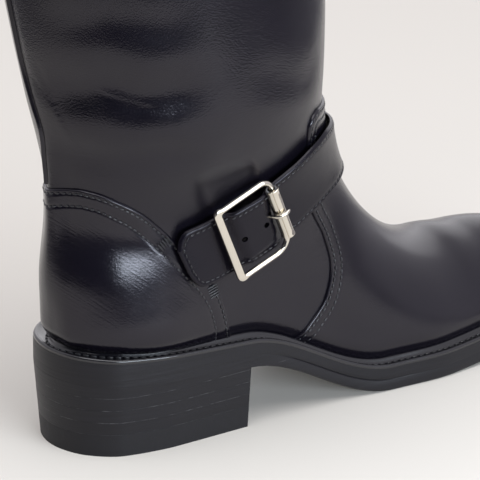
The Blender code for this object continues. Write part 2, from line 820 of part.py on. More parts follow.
def build_strap(material, collection, cutters):
    obj = sheet("strap", strap_grid(), False, material, collection)
    face_outwards_sheet(obj)
    thicken(obj, STRAP_THICKNESS, 1.0)
    along, across, out = buckle_frame_matrix()
    turn = Matrix((along, across, out)).transposed().to_4x4()
    for number, place in enumerate(HOLE_PLACES):
        radius = PRONG_HOLE_RADIUS if number == len(HOLE_PLACES) - 1 else HOLE_RADIUS
        bpy.ops.mesh.primitive_cylinder_add(
            vertices=HOLE_SIDES, radius=radius * MM, depth=HOLE_CUT_DEPTH * MM
        )
        cutter = bpy.context.active_object
        cutter.name = f"hole_cutter_{number + 1}"
        middle = Vector(buckle_place(place, HOLE_ACROSS, HOLE_CUT_OUT)) * MM
        cutter.matrix_world = Matrix.Translation(middle) @ turn
        keep_cutter(cutter, cutters)
        cut(obj, cutter, "DIFFERENCE")


def build_buckle(material, collection):
    """Rounded frame of round bar, a roller turning on its front bar, and the prong that rests on it."""
    half_length = BUCKLE_LENGTH / 2 - BUCKLE_BAR
    half_across = BUCKLE_WIDTH / 2 - BUCKLE_BAR
    path = []
    for along_side, across_side, start in ((1, 1, 0.0), (-1, 1, 90.0), (-1, -1, 180.0), (1, -1, 270.0)):
        for step in range(BUCKLE_CORNER_STEPS + 1):
            turn = math.radians(start + 90.0 * step / BUCKLE_CORNER_STEPS)
            along_mm = along_side * (half_length - BUCKLE_CORNER) + BUCKLE_CORNER * math.cos(turn)
            across_mm = across_side * (half_across - BUCKLE_CORNER) + BUCKLE_CORNER * math.sin(turn)
            path.append(buckle_place(along_mm, across_mm, 0.0))
    tube("buckle_frame", path, BUCKLE_BAR, True, material, collection)
    rings = []
    for end in (-0.5, 0.5):
        ring = []
        for turn in np.linspace(0.0, 2 * math.pi, ROLLER_SIDES, endpoint=False):
            along_mm = half_length + ROLLER_RADIUS * math.cos(turn)
            ring.append(buckle_place(along_mm, end * ROLLER_LENGTH, ROLLER_RADIUS * math.sin(turn)))
        rings.append(ring)
    roller = sheet("buckle_roller", np.array(rings), True, material, collection)
    middle = Vector(buckle_place(half_length, 0.0, 0.0)) * MM
    first = roller.data.polygons[0]
    if first.normal.dot(first.center - middle) < 0:
        roller.data.flip_normals()
    thicken(roller, ROLLER_WALL, -1.0)
    prong = [buckle_place(along_mm, HOLE_ACROSS, out_mm) for along_mm, out_mm in PRONG_PATH]
    tube("buckle_prong", prong, PRONG_RADIUS, False, material, collection)


def main():
    for obj in list(bpy.data.objects):
        bpy.data.objects.remove(obj)
    boot = bpy.data.collections.new("tall_boot")
    cutters = bpy.data.collections.new("cutters")
    bpy.context.scene.collection.children.link(boot)
    bpy.context.scene.collection.children.link(cutters)
    leather = make_material("boot_leather", (0.012, 0.012, 0.014), 0.0, 0.3)
    sole_leather = make_material("sole_edge", (0.04, 0.038, 0.042), 0.0, 0.45)
    rubber = make_material("top_lift_rubber", (0.03, 0.03, 0.032), 0.0, 0.6)
    lining = make_material("insole_leather", (0.42, 0.3, 0.19), 0.0, 0.6)
    metal = make_material("buckle_metal", (0.75, 0.71, 0.62), 1.0, 0.25)
    build_outsole(sole_leather, boot)
    build_welt(sole_leather, boot)
    build_insole(lining, boot)
    build_heel(sole_leather, rubber, boot)
    build_upper(leather, boot)
    build_vamp(leather, boot, cutters)
    build_counter(leather, boot, cutters)
    build_back_seam(leather, boot)
    build_strap(leather, boot, cutters)
    build_buckle(metal, boot)


main()
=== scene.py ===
"""Looks of a tall black riding boot for the right foot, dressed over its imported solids.

The toe points along +X, the outer side faces -Y and the floor is z = 0.  Sizes are millimetres in that
frame, and meshes are made in metres.
"""

import logging
import math
from dataclasses import dataclass
from enum import Enum

import bpy
import numpy as np
from mathutils import Matrix, Vector


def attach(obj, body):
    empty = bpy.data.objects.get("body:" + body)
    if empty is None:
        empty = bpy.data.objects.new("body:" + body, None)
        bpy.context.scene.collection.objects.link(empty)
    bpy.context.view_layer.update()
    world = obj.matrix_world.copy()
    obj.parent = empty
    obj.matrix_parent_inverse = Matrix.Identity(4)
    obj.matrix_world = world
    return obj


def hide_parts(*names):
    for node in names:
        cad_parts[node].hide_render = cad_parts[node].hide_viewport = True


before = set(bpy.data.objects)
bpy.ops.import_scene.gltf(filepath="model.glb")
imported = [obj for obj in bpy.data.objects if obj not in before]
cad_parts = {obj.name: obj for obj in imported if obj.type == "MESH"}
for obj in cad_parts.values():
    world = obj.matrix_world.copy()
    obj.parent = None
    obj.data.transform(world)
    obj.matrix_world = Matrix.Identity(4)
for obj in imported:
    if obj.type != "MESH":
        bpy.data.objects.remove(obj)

MM = 0.001
IMAGE_PIXELS = 480
SENSOR_WIDTH = 36.0
TINY = 1e-6
SEAM_JOIN = 2e-6
HALVINGS = 40
SLIDE_ROUNDS = 5
NUDGE = 0.2
CAP_SHARES = (0.0, 0.35, 0.7, 0.92)
LOG = logging.getLogger("tall_boot")

Array = np.ndarray
Table = tuple[tuple[float, ...], ...]
Colour = tuple[float, float, float]
Point = tuple[float, float, float]
Piece = bpy.types.Object
Material = bpy.types.Material
Socket = bpy.types.NodeSocket


# Curves and blends


def smooth_curve(table: Table | list, column: int, at: Array | float) -> Array:
    """Gives a smooth curve through one column of a table, level past its ends.

    Args:
        table: Rows whose first column is the place along the curve.
        column: The column that the curve runs through.
        at: Places at which the curve is wanted.

    Returns:
        The curve's value at each place.
    """
    places = np.array([row[0] for row in table], float)
    values = np.array([row[column] for row in table], float)
    steps = np.diff(places)
    slopes = np.diff(values) / steps
    tangents = np.zeros(len(places))
    tangents[0] = slopes[0]
    tangents[-1] = slopes[-1]
    for i in range(1, len(places) - 1):
        if slopes[i - 1] * slopes[i] > 0:
            near = 2 * steps[i] + steps[i - 1]
            far = steps[i] + 2 * steps[i - 1]
            tangents[i] = (near + far) / (near / slopes[i - 1] + far / slopes[i])
    at = np.clip(np.asarray(at, float), places[0], places[-1])
    i = np.clip(np.searchsorted(places, at, side="right") - 1, 0, len(places) - 2)
    t = (at - places[i]) / steps[i]
    start = (1 + 2 * t) * (1 - t) ** 2 * values[i] + t * (1 - t) ** 2 * steps[i] * tangents[i]
    end = t * t * (3 - 2 * t) * values[i + 1] + t * t * (t - 1) * steps[i] * tangents[i + 1]
    return start + end


def round_ended_curve(table: Table, column: int, at: Array | float) -> Array:
    """Gives a half width through a table whose squares are joined, so that an end at nought is round."""
    squares = [(row[0], row[column] ** 2) for row in table]
    return np.sqrt(np.maximum(smooth_curve(squares, 1, at), 0.0))


def mix(a: Array | float, b: Array | float, t: Array | float) -> Array | float:
    """Blends from a to b as t goes from 0 to 1."""
    return a + (b - a) * t


def ease(t: Array | float) -> Array:
    """Rises smoothly from 0 to 1 as t does."""
    t = np.clip(t, 0.0, 1.0)
    return t * t * (3 - 2 * t)


def bump(distance: Array, width: float) -> Array:
    """Gives a soft mound of height 1 whose foot is about two widths away."""
    return np.exp(-((distance / width) ** 2))


def along_path(path: Array) -> Array:
    """Gives the running length at each point of a path."""
    steps = np.linalg.norm(np.diff(path, axis=0), axis=-1)
    return np.concatenate([[0.0], np.cumsum(steps)])


def resample(path: Array, places: Array) -> Array:
    """Gives the points of a path at the wanted running lengths."""
    length = along_path(path)
    return np.stack([np.interp(places, length, path[:, axis]) for axis in range(path.shape[1])], axis=-1)


def unit(directions: Array) -> Array:
    """Gives directions a length of 1."""
    return directions / np.linalg.norm(directions, axis=-1, keepdims=True)


def heading(path: Array, places: Array) -> Array:
    """Gives the direction of a path at the wanted running lengths."""
    return resample(path, places + NUDGE) - resample(path, places - NUDGE)


def even_stops(length: float, pitch: float) -> Array:
    """Gives the middles of equal steps along a length, each about a pitch long."""
    count = max(int(length / pitch), 1)
    return (np.arange(count) + 0.5) * length / count


def edge_spaced(ends: Array, whole: float, middle: int) -> Array:
    """Gives places over a width, close together near both edges and even between them."""
    between = np.linspace(ends[-1], whole - ends[-1], middle + 2)[1:-1]
    return np.concatenate([ends, between, whole - ends[::-1]])


def nearest_on_path(points: Array, path: Array) -> tuple[Array, Array, Array]:
    """Measures points against a path of straight stretches.

    Args:
        points: Points as rows of x, y, z.
        path: The path's points as rows of x, y, z.

    Returns:
        The distance of each point, the share of the path's length at its nearest place, and how far it
        stands above that place.
    """
    best = np.full(len(points), np.inf)
    share = np.zeros(len(points))
    above = np.zeros(len(points))
    length = along_path(path)
    for i in range(len(path) - 1):
        run = path[i + 1] - path[i]
        t = np.clip((points - path[i]) @ run / max(run @ run, TINY), 0.0, 1.0)
        foot = path[i] + t[:, None] * run
        distance = np.linalg.norm(points - foot, axis=-1)
        nearer = distance < best
        best = np.where(nearer, distance, best)
        share = np.where(nearer, mix(length[i], length[i + 1], t) / length[-1], share)
        above = np.where(nearer, points[:, 2] - foot[:, 2], above)
    return best, share, above


# Form of the boot


class Side(Enum):
    """The side of the boot that a mark lies on, as the sign of its angle."""

    OUTER = 1.0
    INNER = -1.0


class Middle(Enum):
    """The middle line that an overlay is folded round."""

    FRONT = 0.0
    BACK = math.pi


@dataclass(frozen=True)
class BootForm:
    """Outer form of the boot, from the curves of its solids, with the toe spring drawn a little softer."""

    gap: float = 0.3
    lifts_height: float = 26.6
    wedge_at_back: float = 5.8
    wedge_at_breast: float = 1.0
    heel_back_x: float = -39.5
    heel_breast_x: float = 41.0
    outsole: float = 8.0
    sole_toe_x: float = 238.0
    ball_start_x: float = 116.0
    ball_end_x: float = 135.0
    toe_spring: float = 14.0
    toe_spring_power: float = 2.0
    toe_x: float = 232.0
    heel_x: float = -35.5
    toe_box_x: float = 188.0
    toe_box_z: float = 48.0
    toe_power: float = 2.3
    instep_x: float = 168.0
    instep_z: float = 142.0
    instep_reach_x: float = 78.0
    instep_reach_z: float = 92.0
    instep_power: float = 1.8
    arch_power: float = 2.2
    front_power: float = 0.5
    back_power: float = 0.6
    heel_round: float = 44.0
    heel_round_top_z: float = 90.0
    heel_round_fade: float = 60.0
    tuck_height: float = 11.5
    tuck_depth: float = 6.5
    tuck_power: float = 1.5
    collar_z: float = 372.0
    shaft_start_z: float = 150.0
    foot_end: float = 12.0
    # Edge of the sole: x, half width, sideways shift of the middle line towards the inner side
    sole_outline: Table = (
        (-39.5, 0.0, 0.0),
        (-34.0, 18.5, 0.0),
        (-20.0, 29.5, 0.0),
        (5.0, 33.2, 0.0),
        (45.0, 33.0, 0.0),
        (85.0, 32.0, 0.3),
        (120.0, 37.5, 3.5),
        (150.0, 43.0, 8.3),
        (180.0, 42.2, 10.8),
        (205.0, 36.5, 12.0),
        (225.0, 25.0, 13.0),
        (238.0, 0.0, 13.0),
    )
    # Wall of the foot over the sole: x, half width
    foot_outline: Table = (
        (-40.0, 28.5),
        (5.0, 28.5),
        (45.0, 28.0),
        (85.0, 27.5),
        (120.0, 33.0),
        (150.0, 38.5),
        (180.0, 37.5),
        (203.0, 31.0),
        (221.0, 19.0),
        (232.0, 0.0),
    )
    # Middle of the back: z, x
    back_line: Table = (
        (36.0, -35.5),
        (57.0, -36.5),
        (75.0, -38.0),
        (98.0, -37.0),
        (112.0, -37.2),
        (128.0, -38.8),
        (150.0, -43.5),
        (173.0, -48.5),
        (207.0, -55.5),
        (260.0, -64.0),
        (320.0, -70.0),
        (372.0, -72.0),
    )
    # Middle of the shaft's front: z, x
    front_line: Table = (
        (142.0, 90.0),
        (175.0, 89.5),
        (207.0, 87.0),
        (260.0, 87.0),
        (320.0, 90.0),
        (372.0, 91.0),
    )
    # Shaft: z, half width
    shaft_width: Table = (
        (60.0, 35.0),
        (100.0, 40.0),
        (130.0, 47.0),
        (160.0, 51.5),
        (210.0, 55.0),
        (280.0, 58.0),
        (372.0, 60.0),
    )
    # Levels: place on the front line, height at the back, how far the level sags to the sole
    levels: Table = (
        (0.012, 0.8, 1.0),
        (0.052, 2.7, 1.0),
        (0.107, 5.4, 1.0),
        (0.22, 11.0, 1.0),
        (0.36, 17.0, 1.0),
        (0.52, 23.0, 1.0),
        (0.70, 29.0, 1.05),
        (0.88, 35.5, 1.15),
        (1.05, 42.0, 1.25),
        (1.50, 49.0, 1.4),
        (2.00, 56.0, 1.5),
        (2.20, 62.0, 1.4),
        (2.40, 69.0, 1.15),
        (2.58, 76.0, 0.8),
        (2.74, 84.0, 0.5),
        (2.88, 92.0, 0.25),
        (3.00, 101.0, 0.1),
        (3.05, 112.0, 0.0),
        (3.13, 129.0, 0.0),
        (3.25, 157.0, 0.0),
        (3.40, 192.0, 0.0),
        (3.58, 234.0, 0.0),
        (3.78, 280.0, 0.0),
        (4.00, 331.0, 0.0),
    )

    @property
    def top_level(self) -> float:
        """The level of the collar."""
        return len(self.levels) - 1.0

    def swing(self, x: Array) -> Array:
        """Gives the sideways place of the foot's middle line."""
        return smooth_curve(self.sole_outline, 2, x)

    def sole_bottom(self, x: Array) -> Array:
        """Gives the height of the outsole's underside.

        Args:
            x: Places along the foot.

        Returns:
            Heights over the floor along the heel seat, the waist, the ball and the toe spring.
        """
        x = np.asarray(x, float)
        at_back = self.lifts_height + self.wedge_at_back
        at_breast = self.lifts_height + self.wedge_at_breast
        pitch = (at_breast - at_back) / (self.heel_breast_x - self.heel_back_x)
        seat = at_back + pitch * (x - self.heel_back_x)
        run = self.ball_start_x - self.heel_breast_x
        t = np.clip((x - self.heel_breast_x) / run, 0.0, 1.0)
        waist = (1 + 2 * t) * (1 - t) ** 2 * at_breast + t * (1 - t) ** 2 * run * pitch
        t = np.clip((x - self.ball_end_x) / (self.sole_toe_x - self.ball_end_x), 0.0, 1.0)
        spring = self.toe_spring * t ** self.toe_spring_power
        return np.where(x < self.heel_breast_x, seat, np.where(x < self.ball_start_x, waist, spring))

    def feather(self, x: Array) -> Array:
        """Gives the height of the upper's lower edge, just over the outsole."""
        return self.sole_bottom(x) + self.outsole + self.gap

    def sole_edge(self, angle: Array, inset: Array | float = 0.0) -> Array:
        """Gives plan points on the sole's edge.

        Args:
            angle: 0 at the toe, growing round the outer side to the back.
            inset: How far inside the edge the points lie.

        Returns:
            Rows of x and y.
        """
        x = mix(self.sole_toe_x, self.heel_back_x, (1 - np.cos(angle)) / 2)
        half = round_ended_curve(self.sole_outline, 1, x)
        y = self.swing(x) - np.where(np.sin(angle) >= 0, half, -half)
        return np.stack([x - inset * np.cos(angle), y + inset * np.sin(angle)], axis=-1)

    def vamp_height(self, x: Array) -> Array:
        """Gives the height of the ridge between the instep and the toe tip.

        Args:
            x: Places along the foot.

        Returns:
            Heights over the floor.
        """
        low = self.instep_z - self.instep_reach_z
        blend = ease((x - self.instep_x) / (self.toe_box_x - self.instep_x))
        along = mix(low, self.toe_box_z, blend)
        t = np.clip((x - self.toe_box_x) / (self.toe_x - self.toe_box_x), 0.0, 1.0)
        floor = self.feather(self.toe_x)
        arc = np.maximum(1 - t ** self.toe_power, 0.0) ** (1 / self.toe_power)
        return np.where(x < self.toe_box_x, along, floor + (self.toe_box_z - floor) * arc)

    def front_point(self, place: Array) -> tuple[Array, Array]:
        """Gives x and z on the middle front line.

        Args:
            place: 0 to 1 up the toe, to 2 along the vamp, to 3 up the instep, to 4 up the shaft.

        Returns:
            The x and the z of each place.
        """
        floor = self.feather(self.toe_x)
        turn = np.clip(place, 0.0, 1.0) * math.pi / 2
        toe_share = np.maximum(np.cos(turn), 0.0) ** (2 / self.toe_power)
        toe_rise = np.maximum(np.sin(turn), 0.0) ** (2 / self.toe_power)
        toe_x = self.toe_box_x + (self.toe_x - self.toe_box_x) * toe_share
        toe_z = floor + (self.toe_box_z - floor) * toe_rise
        vamp_x = mix(self.toe_box_x, self.instep_x, np.clip(place - 1, 0.0, 1.0))
        turn = np.clip(place - 2, 0.0, 1.0) * math.pi / 2
        back_share = np.maximum(np.sin(turn), 0.0) ** (2 / self.instep_power)
        down_share = np.maximum(np.cos(turn), 0.0) ** (2 / self.instep_power)
        instep_x = self.instep_x - self.instep_reach_x * back_share
        instep_z = self.instep_z - self.instep_reach_z * down_share
        shaft_z = mix(self.instep_z, self.collar_z, np.clip(place - 3, 0.0, 1.0))
        shaft_x = smooth_curve(self.front_line, 1, shaft_z)
        stretch = [place < 1, place < 2, place < 3]
        x = np.select(stretch, [toe_x, vamp_x, instep_x], shaft_x)
        z = np.select(stretch, [toe_z, self.vamp_height(vamp_x), instep_z], shaft_z)
        return x, z

    def rounding(self, share: Array, power: float) -> Array:
        """Gives how much of its full width a section has, by its share of the way in from the edge."""
        share = np.clip(share, 0.0, 1.0)
        return np.maximum(1 - (1 - share) ** self.arch_power, 0.0) ** power

    def half_width(self, x: Array, z: Array) -> Array:
        """Gives the upper's half width at places in the side view.

        Args:
            x: Places along the foot.
            z: Heights over the floor.

        Returns:
            Half widths from the middle line.
        """
        floor = self.feather(x)
        rise = (z - floor - self.foot_end) / (self.shaft_start_z - floor - self.foot_end)
        foot = round_ended_curve(self.foot_outline, 1, x)
        side = mix(foot, smooth_curve(self.shaft_width, 1, z), ease(rise))
        back_x = smooth_curve(self.back_line, 1, z)
        shaft_front = smooth_curve(self.front_line, 1, z)
        shaft_half = (shaft_front - back_x) / 2
        over_x = np.maximum(self.instep_x - x, 0.0)
        under_z = np.maximum(self.instep_z - z, 0.0)
        across = (over_x / self.instep_reach_x) ** self.instep_power
        down = (under_z / self.instep_reach_z) ** self.instep_power
        reach = np.maximum((across + down) ** (1 / self.instep_power), TINY)
        turning = np.hypot(over_x, under_z) * (1 - 1 / reach)
        on_shaft = z >= self.instep_z
        on_vamp = x >= self.instep_x
        over_vamp = np.where(on_vamp, self.vamp_height(x) - z, turning)
        depth = np.where(on_shaft, shaft_front - x, over_vamp)
        turn = np.arctan2(under_z, over_x) / (math.pi / 2)
        vamp_x = np.maximum(x, self.instep_x)
        vamp_depth = np.maximum(self.vamp_height(vamp_x) - self.feather(vamp_x), TINY)
        full = mix(shaft_half, vamp_depth, ease(turn))
        full = np.where(on_shaft, shaft_half, np.where(on_vamp, vamp_depth, full))
        fade = ease((z - self.heel_round_top_z) / self.heel_round_fade)
        back_full = mix(self.heel_round, shaft_half, fade)
        over_front = self.rounding(depth / full, self.front_power)
        over_back = self.rounding((x - back_x) / back_full, self.back_power)
        return side * over_front * over_back

    def level_values(self, level: Array) -> list[Array]:
        """Gives the place on the front line, the height at the back and the sag of each level."""
        rows = [(i, *row) for i, row in enumerate(self.levels)]
        return [smooth_curve(rows, column, level) for column in (1, 2, 3)]

    def point(self, angle: Array, level: Array) -> Array:
        """Gives points of the upper's outer face.

        Args:
            angle: 0 at the toe, growing round the outer side to the back.
            level: Place up the upper, from the sole at 0 to the collar.

        Returns:
            Points as x, y, z in the last axis.
        """
        place, back_height, sag = self.level_values(level)
        front_x, front_z = self.front_point(place)
        back_z = self.feather(self.heel_x) + back_height
        back_x = smooth_curve(self.back_line, 1, back_z)
        t = (1 - np.cos(angle)) / 2
        x = mix(front_x, back_x, t)
        dip = self.feather(x) - mix(self.feather(front_x), self.feather(back_x), t)
        z = mix(front_z, back_z, t) + sag * dip
        half = self.half_width(x, z)
        y = self.swing(x) - np.where(np.sin(angle) >= 0, half, -half)
        below = np.clip(1 - (z - self.feather(x)) / self.tuck_height, 0.0, 1.0)
        tuck = self.tuck_depth * below ** self.tuck_power
        return np.stack([x - tuck * np.cos(angle), y + tuck * np.sin(angle), z], axis=-1)

    def slopes(self, angle: Array, level: Array) -> tuple[Array, Array]:
        """Gives how a point of the face moves with its angle and with its level.

        Args:
            angle: Places round the boot.
            level: Places up the boot.

        Returns:
            Movement for each radian and for each level.
        """
        turn = 0.01
        step = 0.05
        level = np.clip(level, 0.0, self.top_level)
        above = np.clip(level + step, 0.0, self.top_level)
        below = np.clip(level - step, 0.0, self.top_level)
        around = (self.point(angle + turn, level) - self.point(angle - turn, level)) / (2 * turn)
        rising = (self.point(angle, above) - self.point(angle, below)) / (above - below)[..., None]
        return around, rising

    def normal(self, angle: Array, level: Array) -> Array:
        """Gives the outward direction of the upper's face.

        Args:
            angle: Places round the boot.
            level: Places up the boot.

        Returns:
            Directions of length 1 in the last axis.
        """
        around, rising = self.slopes(angle, level)
        return unit(np.cross(rising, around))

    def locate(self, x: Array, z: Array) -> tuple[Array, Array]:
        """Finds places on the outer side that have the given x and z in the side view.

        Args:
            x: Places along the foot.
            z: Heights over the floor.

        Returns:
            The angle and the level of each place.
        """
        low = np.zeros_like(np.asarray(x, float))
        high = np.full_like(low, self.top_level)
        angle = low
        for _ in range(HALVINGS):
            level = (low + high) / 2
            place, back_height, _sag = self.level_values(level)
            front_x, _front_z = self.front_point(place)
            back_x = smooth_curve(self.back_line, 1, self.feather(self.heel_x) + back_height)
            share = np.clip((front_x - x) / (front_x - back_x), 0.0, 1.0)
            angle = np.arccos(1 - 2 * share)
            under = self.point(angle, level)[..., 2] < z
            low = np.where(under, level, low)
            high = np.where(under, high, level)
        return angle, (low + high) / 2

    def edge_distance(self, angle: Array, level: Array, edge: Array) -> Array:
        """Measures how far places lie from an edge on the face.

        Args:
            angle: Places round the boot.
            level: Places up the boot.
            edge: Rows along the edge that start with its angle and level.

        Returns:
            The distance of each place.
        """
        points = self.point(angle, level).reshape(-1, 3)
        distance, _share, _above = nearest_on_path(points, self.point(edge[:, 0], edge[:, 1]))
        return distance.reshape(angle.shape)

    def slide(self, angle: Array, level: Array, target: Array) -> tuple[Array, Array]:
        """Moves places over the face until they lie as near as they can to target points.

        Args:
            angle: Starting places round the boot.
            level: Starting places up the boot.
            target: Points to come near to.

        Returns:
            The angle and the level of each place reached.
        """
        for _ in range(SLIDE_ROUNDS):
            around, rising = self.slopes(angle, level)
            miss = target - self.point(angle, level)
            aa = (around * around).sum(-1)
            ab = (around * rising).sum(-1)
            bb = (rising * rising).sum(-1)
            ma = (miss * around).sum(-1)
            mb = (miss * rising).sum(-1)
            det = np.maximum(aa * bb - ab * ab, TINY)
            angle = angle + (ma * bb - mb * ab) / det
            level = np.clip(level + (mb * aa - ma * ab) / det, 0.0, self.top_level)
        return angle, level


@dataclass(frozen=True)
class Crease:
    """A soft trough in the leather with a rounded ridge along its upper side.

    Its path is given by x and z in the side view, and its ridge's place and width in widths of the trough.
    """

    path: Table
    side: Side
    width: float
    depth: float
    ridge: float
    samples: int = 25
    end_fade: float = 0.3
    ridge_place: float = 1.7
    ridge_width: float = 1.2

    def relief(self, form: BootForm, points: Array) -> Array:
        """Gives how far the crease lifts or sinks points of the face.

        Args:
            form: The boot's form.
            points: Points as rows of x, y, z.

        Returns:
            Lift along the face's outward direction.
        """
        table = np.array(self.path)
        angle, level = form.locate(table[:, 0], table[:, 1])
        path = form.point(angle * self.side.value, level)
        fine = resample(path, np.linspace(0.0, along_path(path)[-1], self.samples))
        distance, share, above = nearest_on_path(points, fine)
        signed = np.where(above >= 0, distance, -distance)
        fade = ease(np.minimum(share, 1 - share) / self.end_fade)
        ridge = self.ridge * bump(signed - self.ridge_place * self.width, self.ridge_width * self.width)
        return fade * (ridge - self.depth * bump(signed, self.width))


@dataclass(frozen=True)
class Swell:
    """A broad soft mound or hollow of the leather, centred at x and z in the side view."""

    x: float
    z: float
    side: Side
    reach_x: float
    reach_z: float
    height: float
    middle_fade: float = 10.0

    def relief(self, form: BootForm, points: Array) -> Array:
        """Gives how far the swell lifts or sinks points of the face.

        Args:
            form: The boot's form.
            points: Points as rows of x, y, z.

        Returns:
            Lift along the face's outward direction.
        """
        from_middle = (form.swing(points[:, 0]) - points[:, 1]) * self.side.value
        along = (points[:, 0] - self.x) / self.reach_x
        up = (points[:, 2] - self.z) / self.reach_z
        return self.height * ease(from_middle / self.middle_fade) * np.exp(-(along ** 2) - up ** 2)


@dataclass(frozen=True)
class LeatherFace:
    """The boot's leather face: its form with the creases and swells of wear."""

    form: BootForm
    marks: tuple[Crease | Swell, ...]
    sole_fade: float = 11.0

    def relief(self, points: Array) -> Array:
        """Gives the lift of all the marks together, which fades out towards the sole.

        Args:
            points: Points of the face as x, y, z in the last axis.

        Returns:
            Lift along the face's outward direction.
        """
        flat = points.reshape(-1, 3)
        total = np.zeros(len(flat))
        for mark in self.marks:
            total += mark.relief(self.form, flat)
        above_sole = flat[:, 2] - self.form.feather(flat[:, 0])
        total *= ease(above_sole / self.sole_fade)
        return total.reshape(points.shape[:-1])

    def place(self, angle: Array, level: Array, height: Array | float) -> Array:
        """Gives points at a height off the creased face.

        Args:
            angle: Places round the boot.
            level: Places up the boot.
            height: Height off the face.

        Returns:
            Points as x, y, z in the last axis.
        """
        base = self.form.point(angle, level)
        lift = self.relief(base) + height
        return base + self.form.normal(angle, level) * lift[..., None]


# Meshes


def deselect_all() -> None:
    """Leaves nothing selected."""
    bpy.ops.object.select_all(action="DESELECT")


def pick(obj: Piece) -> None:
    """Makes one object the only selected and active one.

    Args:
        obj: The object.
    """
    deselect_all()
    obj.select_set(True)
    bpy.context.view_layer.objects.active = obj


def grid_piece(name: str, points: Array) -> Piece:
    """Adds a grid and lays it through rows and columns of points.

    Args:
        name: The piece's name.
        points: Points by row and column, with x, y, z in the last axis.

    Returns:
        The new object, an open sheet.
    """
    rows, columns = points.shape[:2]
    deselect_all()
    bpy.ops.mesh.primitive_grid_add(x_subdivisions=columns - 1, y_subdivisions=rows - 1, size=1.0)
    obj = bpy.context.active_object
    obj.name = name
    obj.data.name = name
    obj.data.vertices.foreach_set("co", (points * MM).reshape(-1))
    obj.data.update()
    return obj


def close_seams(obj: Piece) -> None:
    """Joins the points that lie on each other and turns the faces outwards.

    Args:
        obj: The piece.
    """
    pick(obj)
    bpy.ops.object.mode_set(mode="EDIT")
    bpy.ops.mesh.select_all(action="SELECT")
    bpy.ops.mesh.remove_doubles(threshold=SEAM_JOIN)
    bpy.ops.mesh.normals_make_consistent(inside=False)
    bpy.ops.object.mode_set(mode="OBJECT")


def apply_modifiers(obj: Piece) -> None:
    """Applies every modifier of a piece.

    Args:
        obj: The piece.
    """
    pick(obj)
    for modifier in list(obj.modifiers):
        bpy.ops.object.modifier_apply(modifier=modifier.name)


def thicken(obj: Piece, thickness: float, outward: Array) -> None:
    """Gives a sheet its thickness on the side away from an outward direction.

    Args:
        obj: The sheet.
        thickness: Its thickness.
        outward: The outward direction at each of the sheet's points.
    """
    directions = outward.reshape(-1, 3)
    facing = sum(face.normal.dot(Vector(directions[face.vertices[0]])) for face in obj.data.polygons)
    if facing < 0:
        obj.data.flip_normals()
    modifier = obj.modifiers.new("Thickness", "SOLIDIFY")
    modifier.thickness = thickness * MM
    modifier.offset = -1.0
    apply_modifiers(obj)


def smooth_shading(obj: Piece, angle_deg: float | None = None) -> None:
    """Shades a piece smooth.

    Args:
        obj: The piece.
        angle_deg: The angle past which edges stay sharp, if any do.
    """
    pick(obj)
    if angle_deg is None:
        bpy.ops.object.shade_smooth()
    else:
        bpy.ops.object.shade_smooth_by_angle(angle=math.radians(angle_deg))


def closed_piece(name: str, points: Array, angle_deg: float | None = None) -> Piece:
    """Adds a smooth piece from a grid whose edges meet.

    Args:
        name: The piece's name.
        points: Points by row and column, with x, y, z in the last axis.
        angle_deg: The angle past which edges stay sharp, if any do.

    Returns:
        The new closed object.
    """
    obj = grid_piece(name, points)
    close_seams(obj)
    smooth_shading(obj, angle_deg)
    return obj


def capped_rings(name: str, rings: list[Array], angle_deg: float) -> Piece:
    """Adds a solid between stacked rings, closed at both ends on the line between their two sides.

    Args:
        name: The piece's name.
        rings: Rings of points whose two sides mirror each other in order.
        angle_deg: The angle past which edges stay sharp.

    Returns:
        The new closed object.
    """
    def inner(ring: Array) -> list[Array]:
        """Gives smaller rings from the middle line out to a ring."""
        middle = (ring + ring[::-1]) / 2
        return [mix(middle, ring, share) for share in CAP_SHARES]

    rows = inner(rings[0]) + list(rings) + inner(rings[-1])[::-1]
    grid = np.stack(rows)
    return closed_piece(name, np.concatenate([grid, grid[:, :1]], axis=1), angle_deg)


def joined_copies(name: str, pattern: Piece, places: Array, turns: Array) -> Piece:
    """Joins copies of a small pattern into one mesh.

    Args:
        name: The piece's name.
        pattern: The small shape, modelled once at the origin; it is removed afterwards.
        places: The place of each copy.
        turns: For each copy, the three directions of its axes as rows.

    Returns:
        The new object.
    """
    mesh = pattern.data
    shape = np.empty(len(mesh.vertices) * 3)
    mesh.vertices.foreach_get("co", shape)
    shape = shape.reshape(-1, 3) / MM
    faces = [tuple(polygon.vertices) for polygon in mesh.polygons]
    points = np.einsum("vi,cij->cvj", shape, turns) + places[:, None, :]
    count = len(shape)
    all_faces = []
    for first in range(0, len(places) * count, count):
        all_faces.extend(tuple(first + index for index in face) for face in faces)
    joined = bpy.data.meshes.new(name)
    joined.from_pydata((points.reshape(-1, 3) * MM).tolist(), [], all_faces)
    joined.validate()
    obj = bpy.data.objects.new(name, joined)
    bpy.context.scene.collection.objects.link(obj)
    bpy.data.objects.remove(pattern)
    smooth_shading(obj)
    return obj


def axes_along(tangent: Array, normal: Array) -> Array:
    """Gives axes that run along a path, across it and out of the face.

    Args:
        tangent: The path's direction at each place.
        normal: The face's outward direction at each place.

    Returns:
        The three axes as rows for each place.
    """
    tangent = unit(tangent)
    across = unit(np.cross(normal, tangent))
    return np.stack([tangent, across, np.cross(tangent, across)], axis=1)


# Finishes


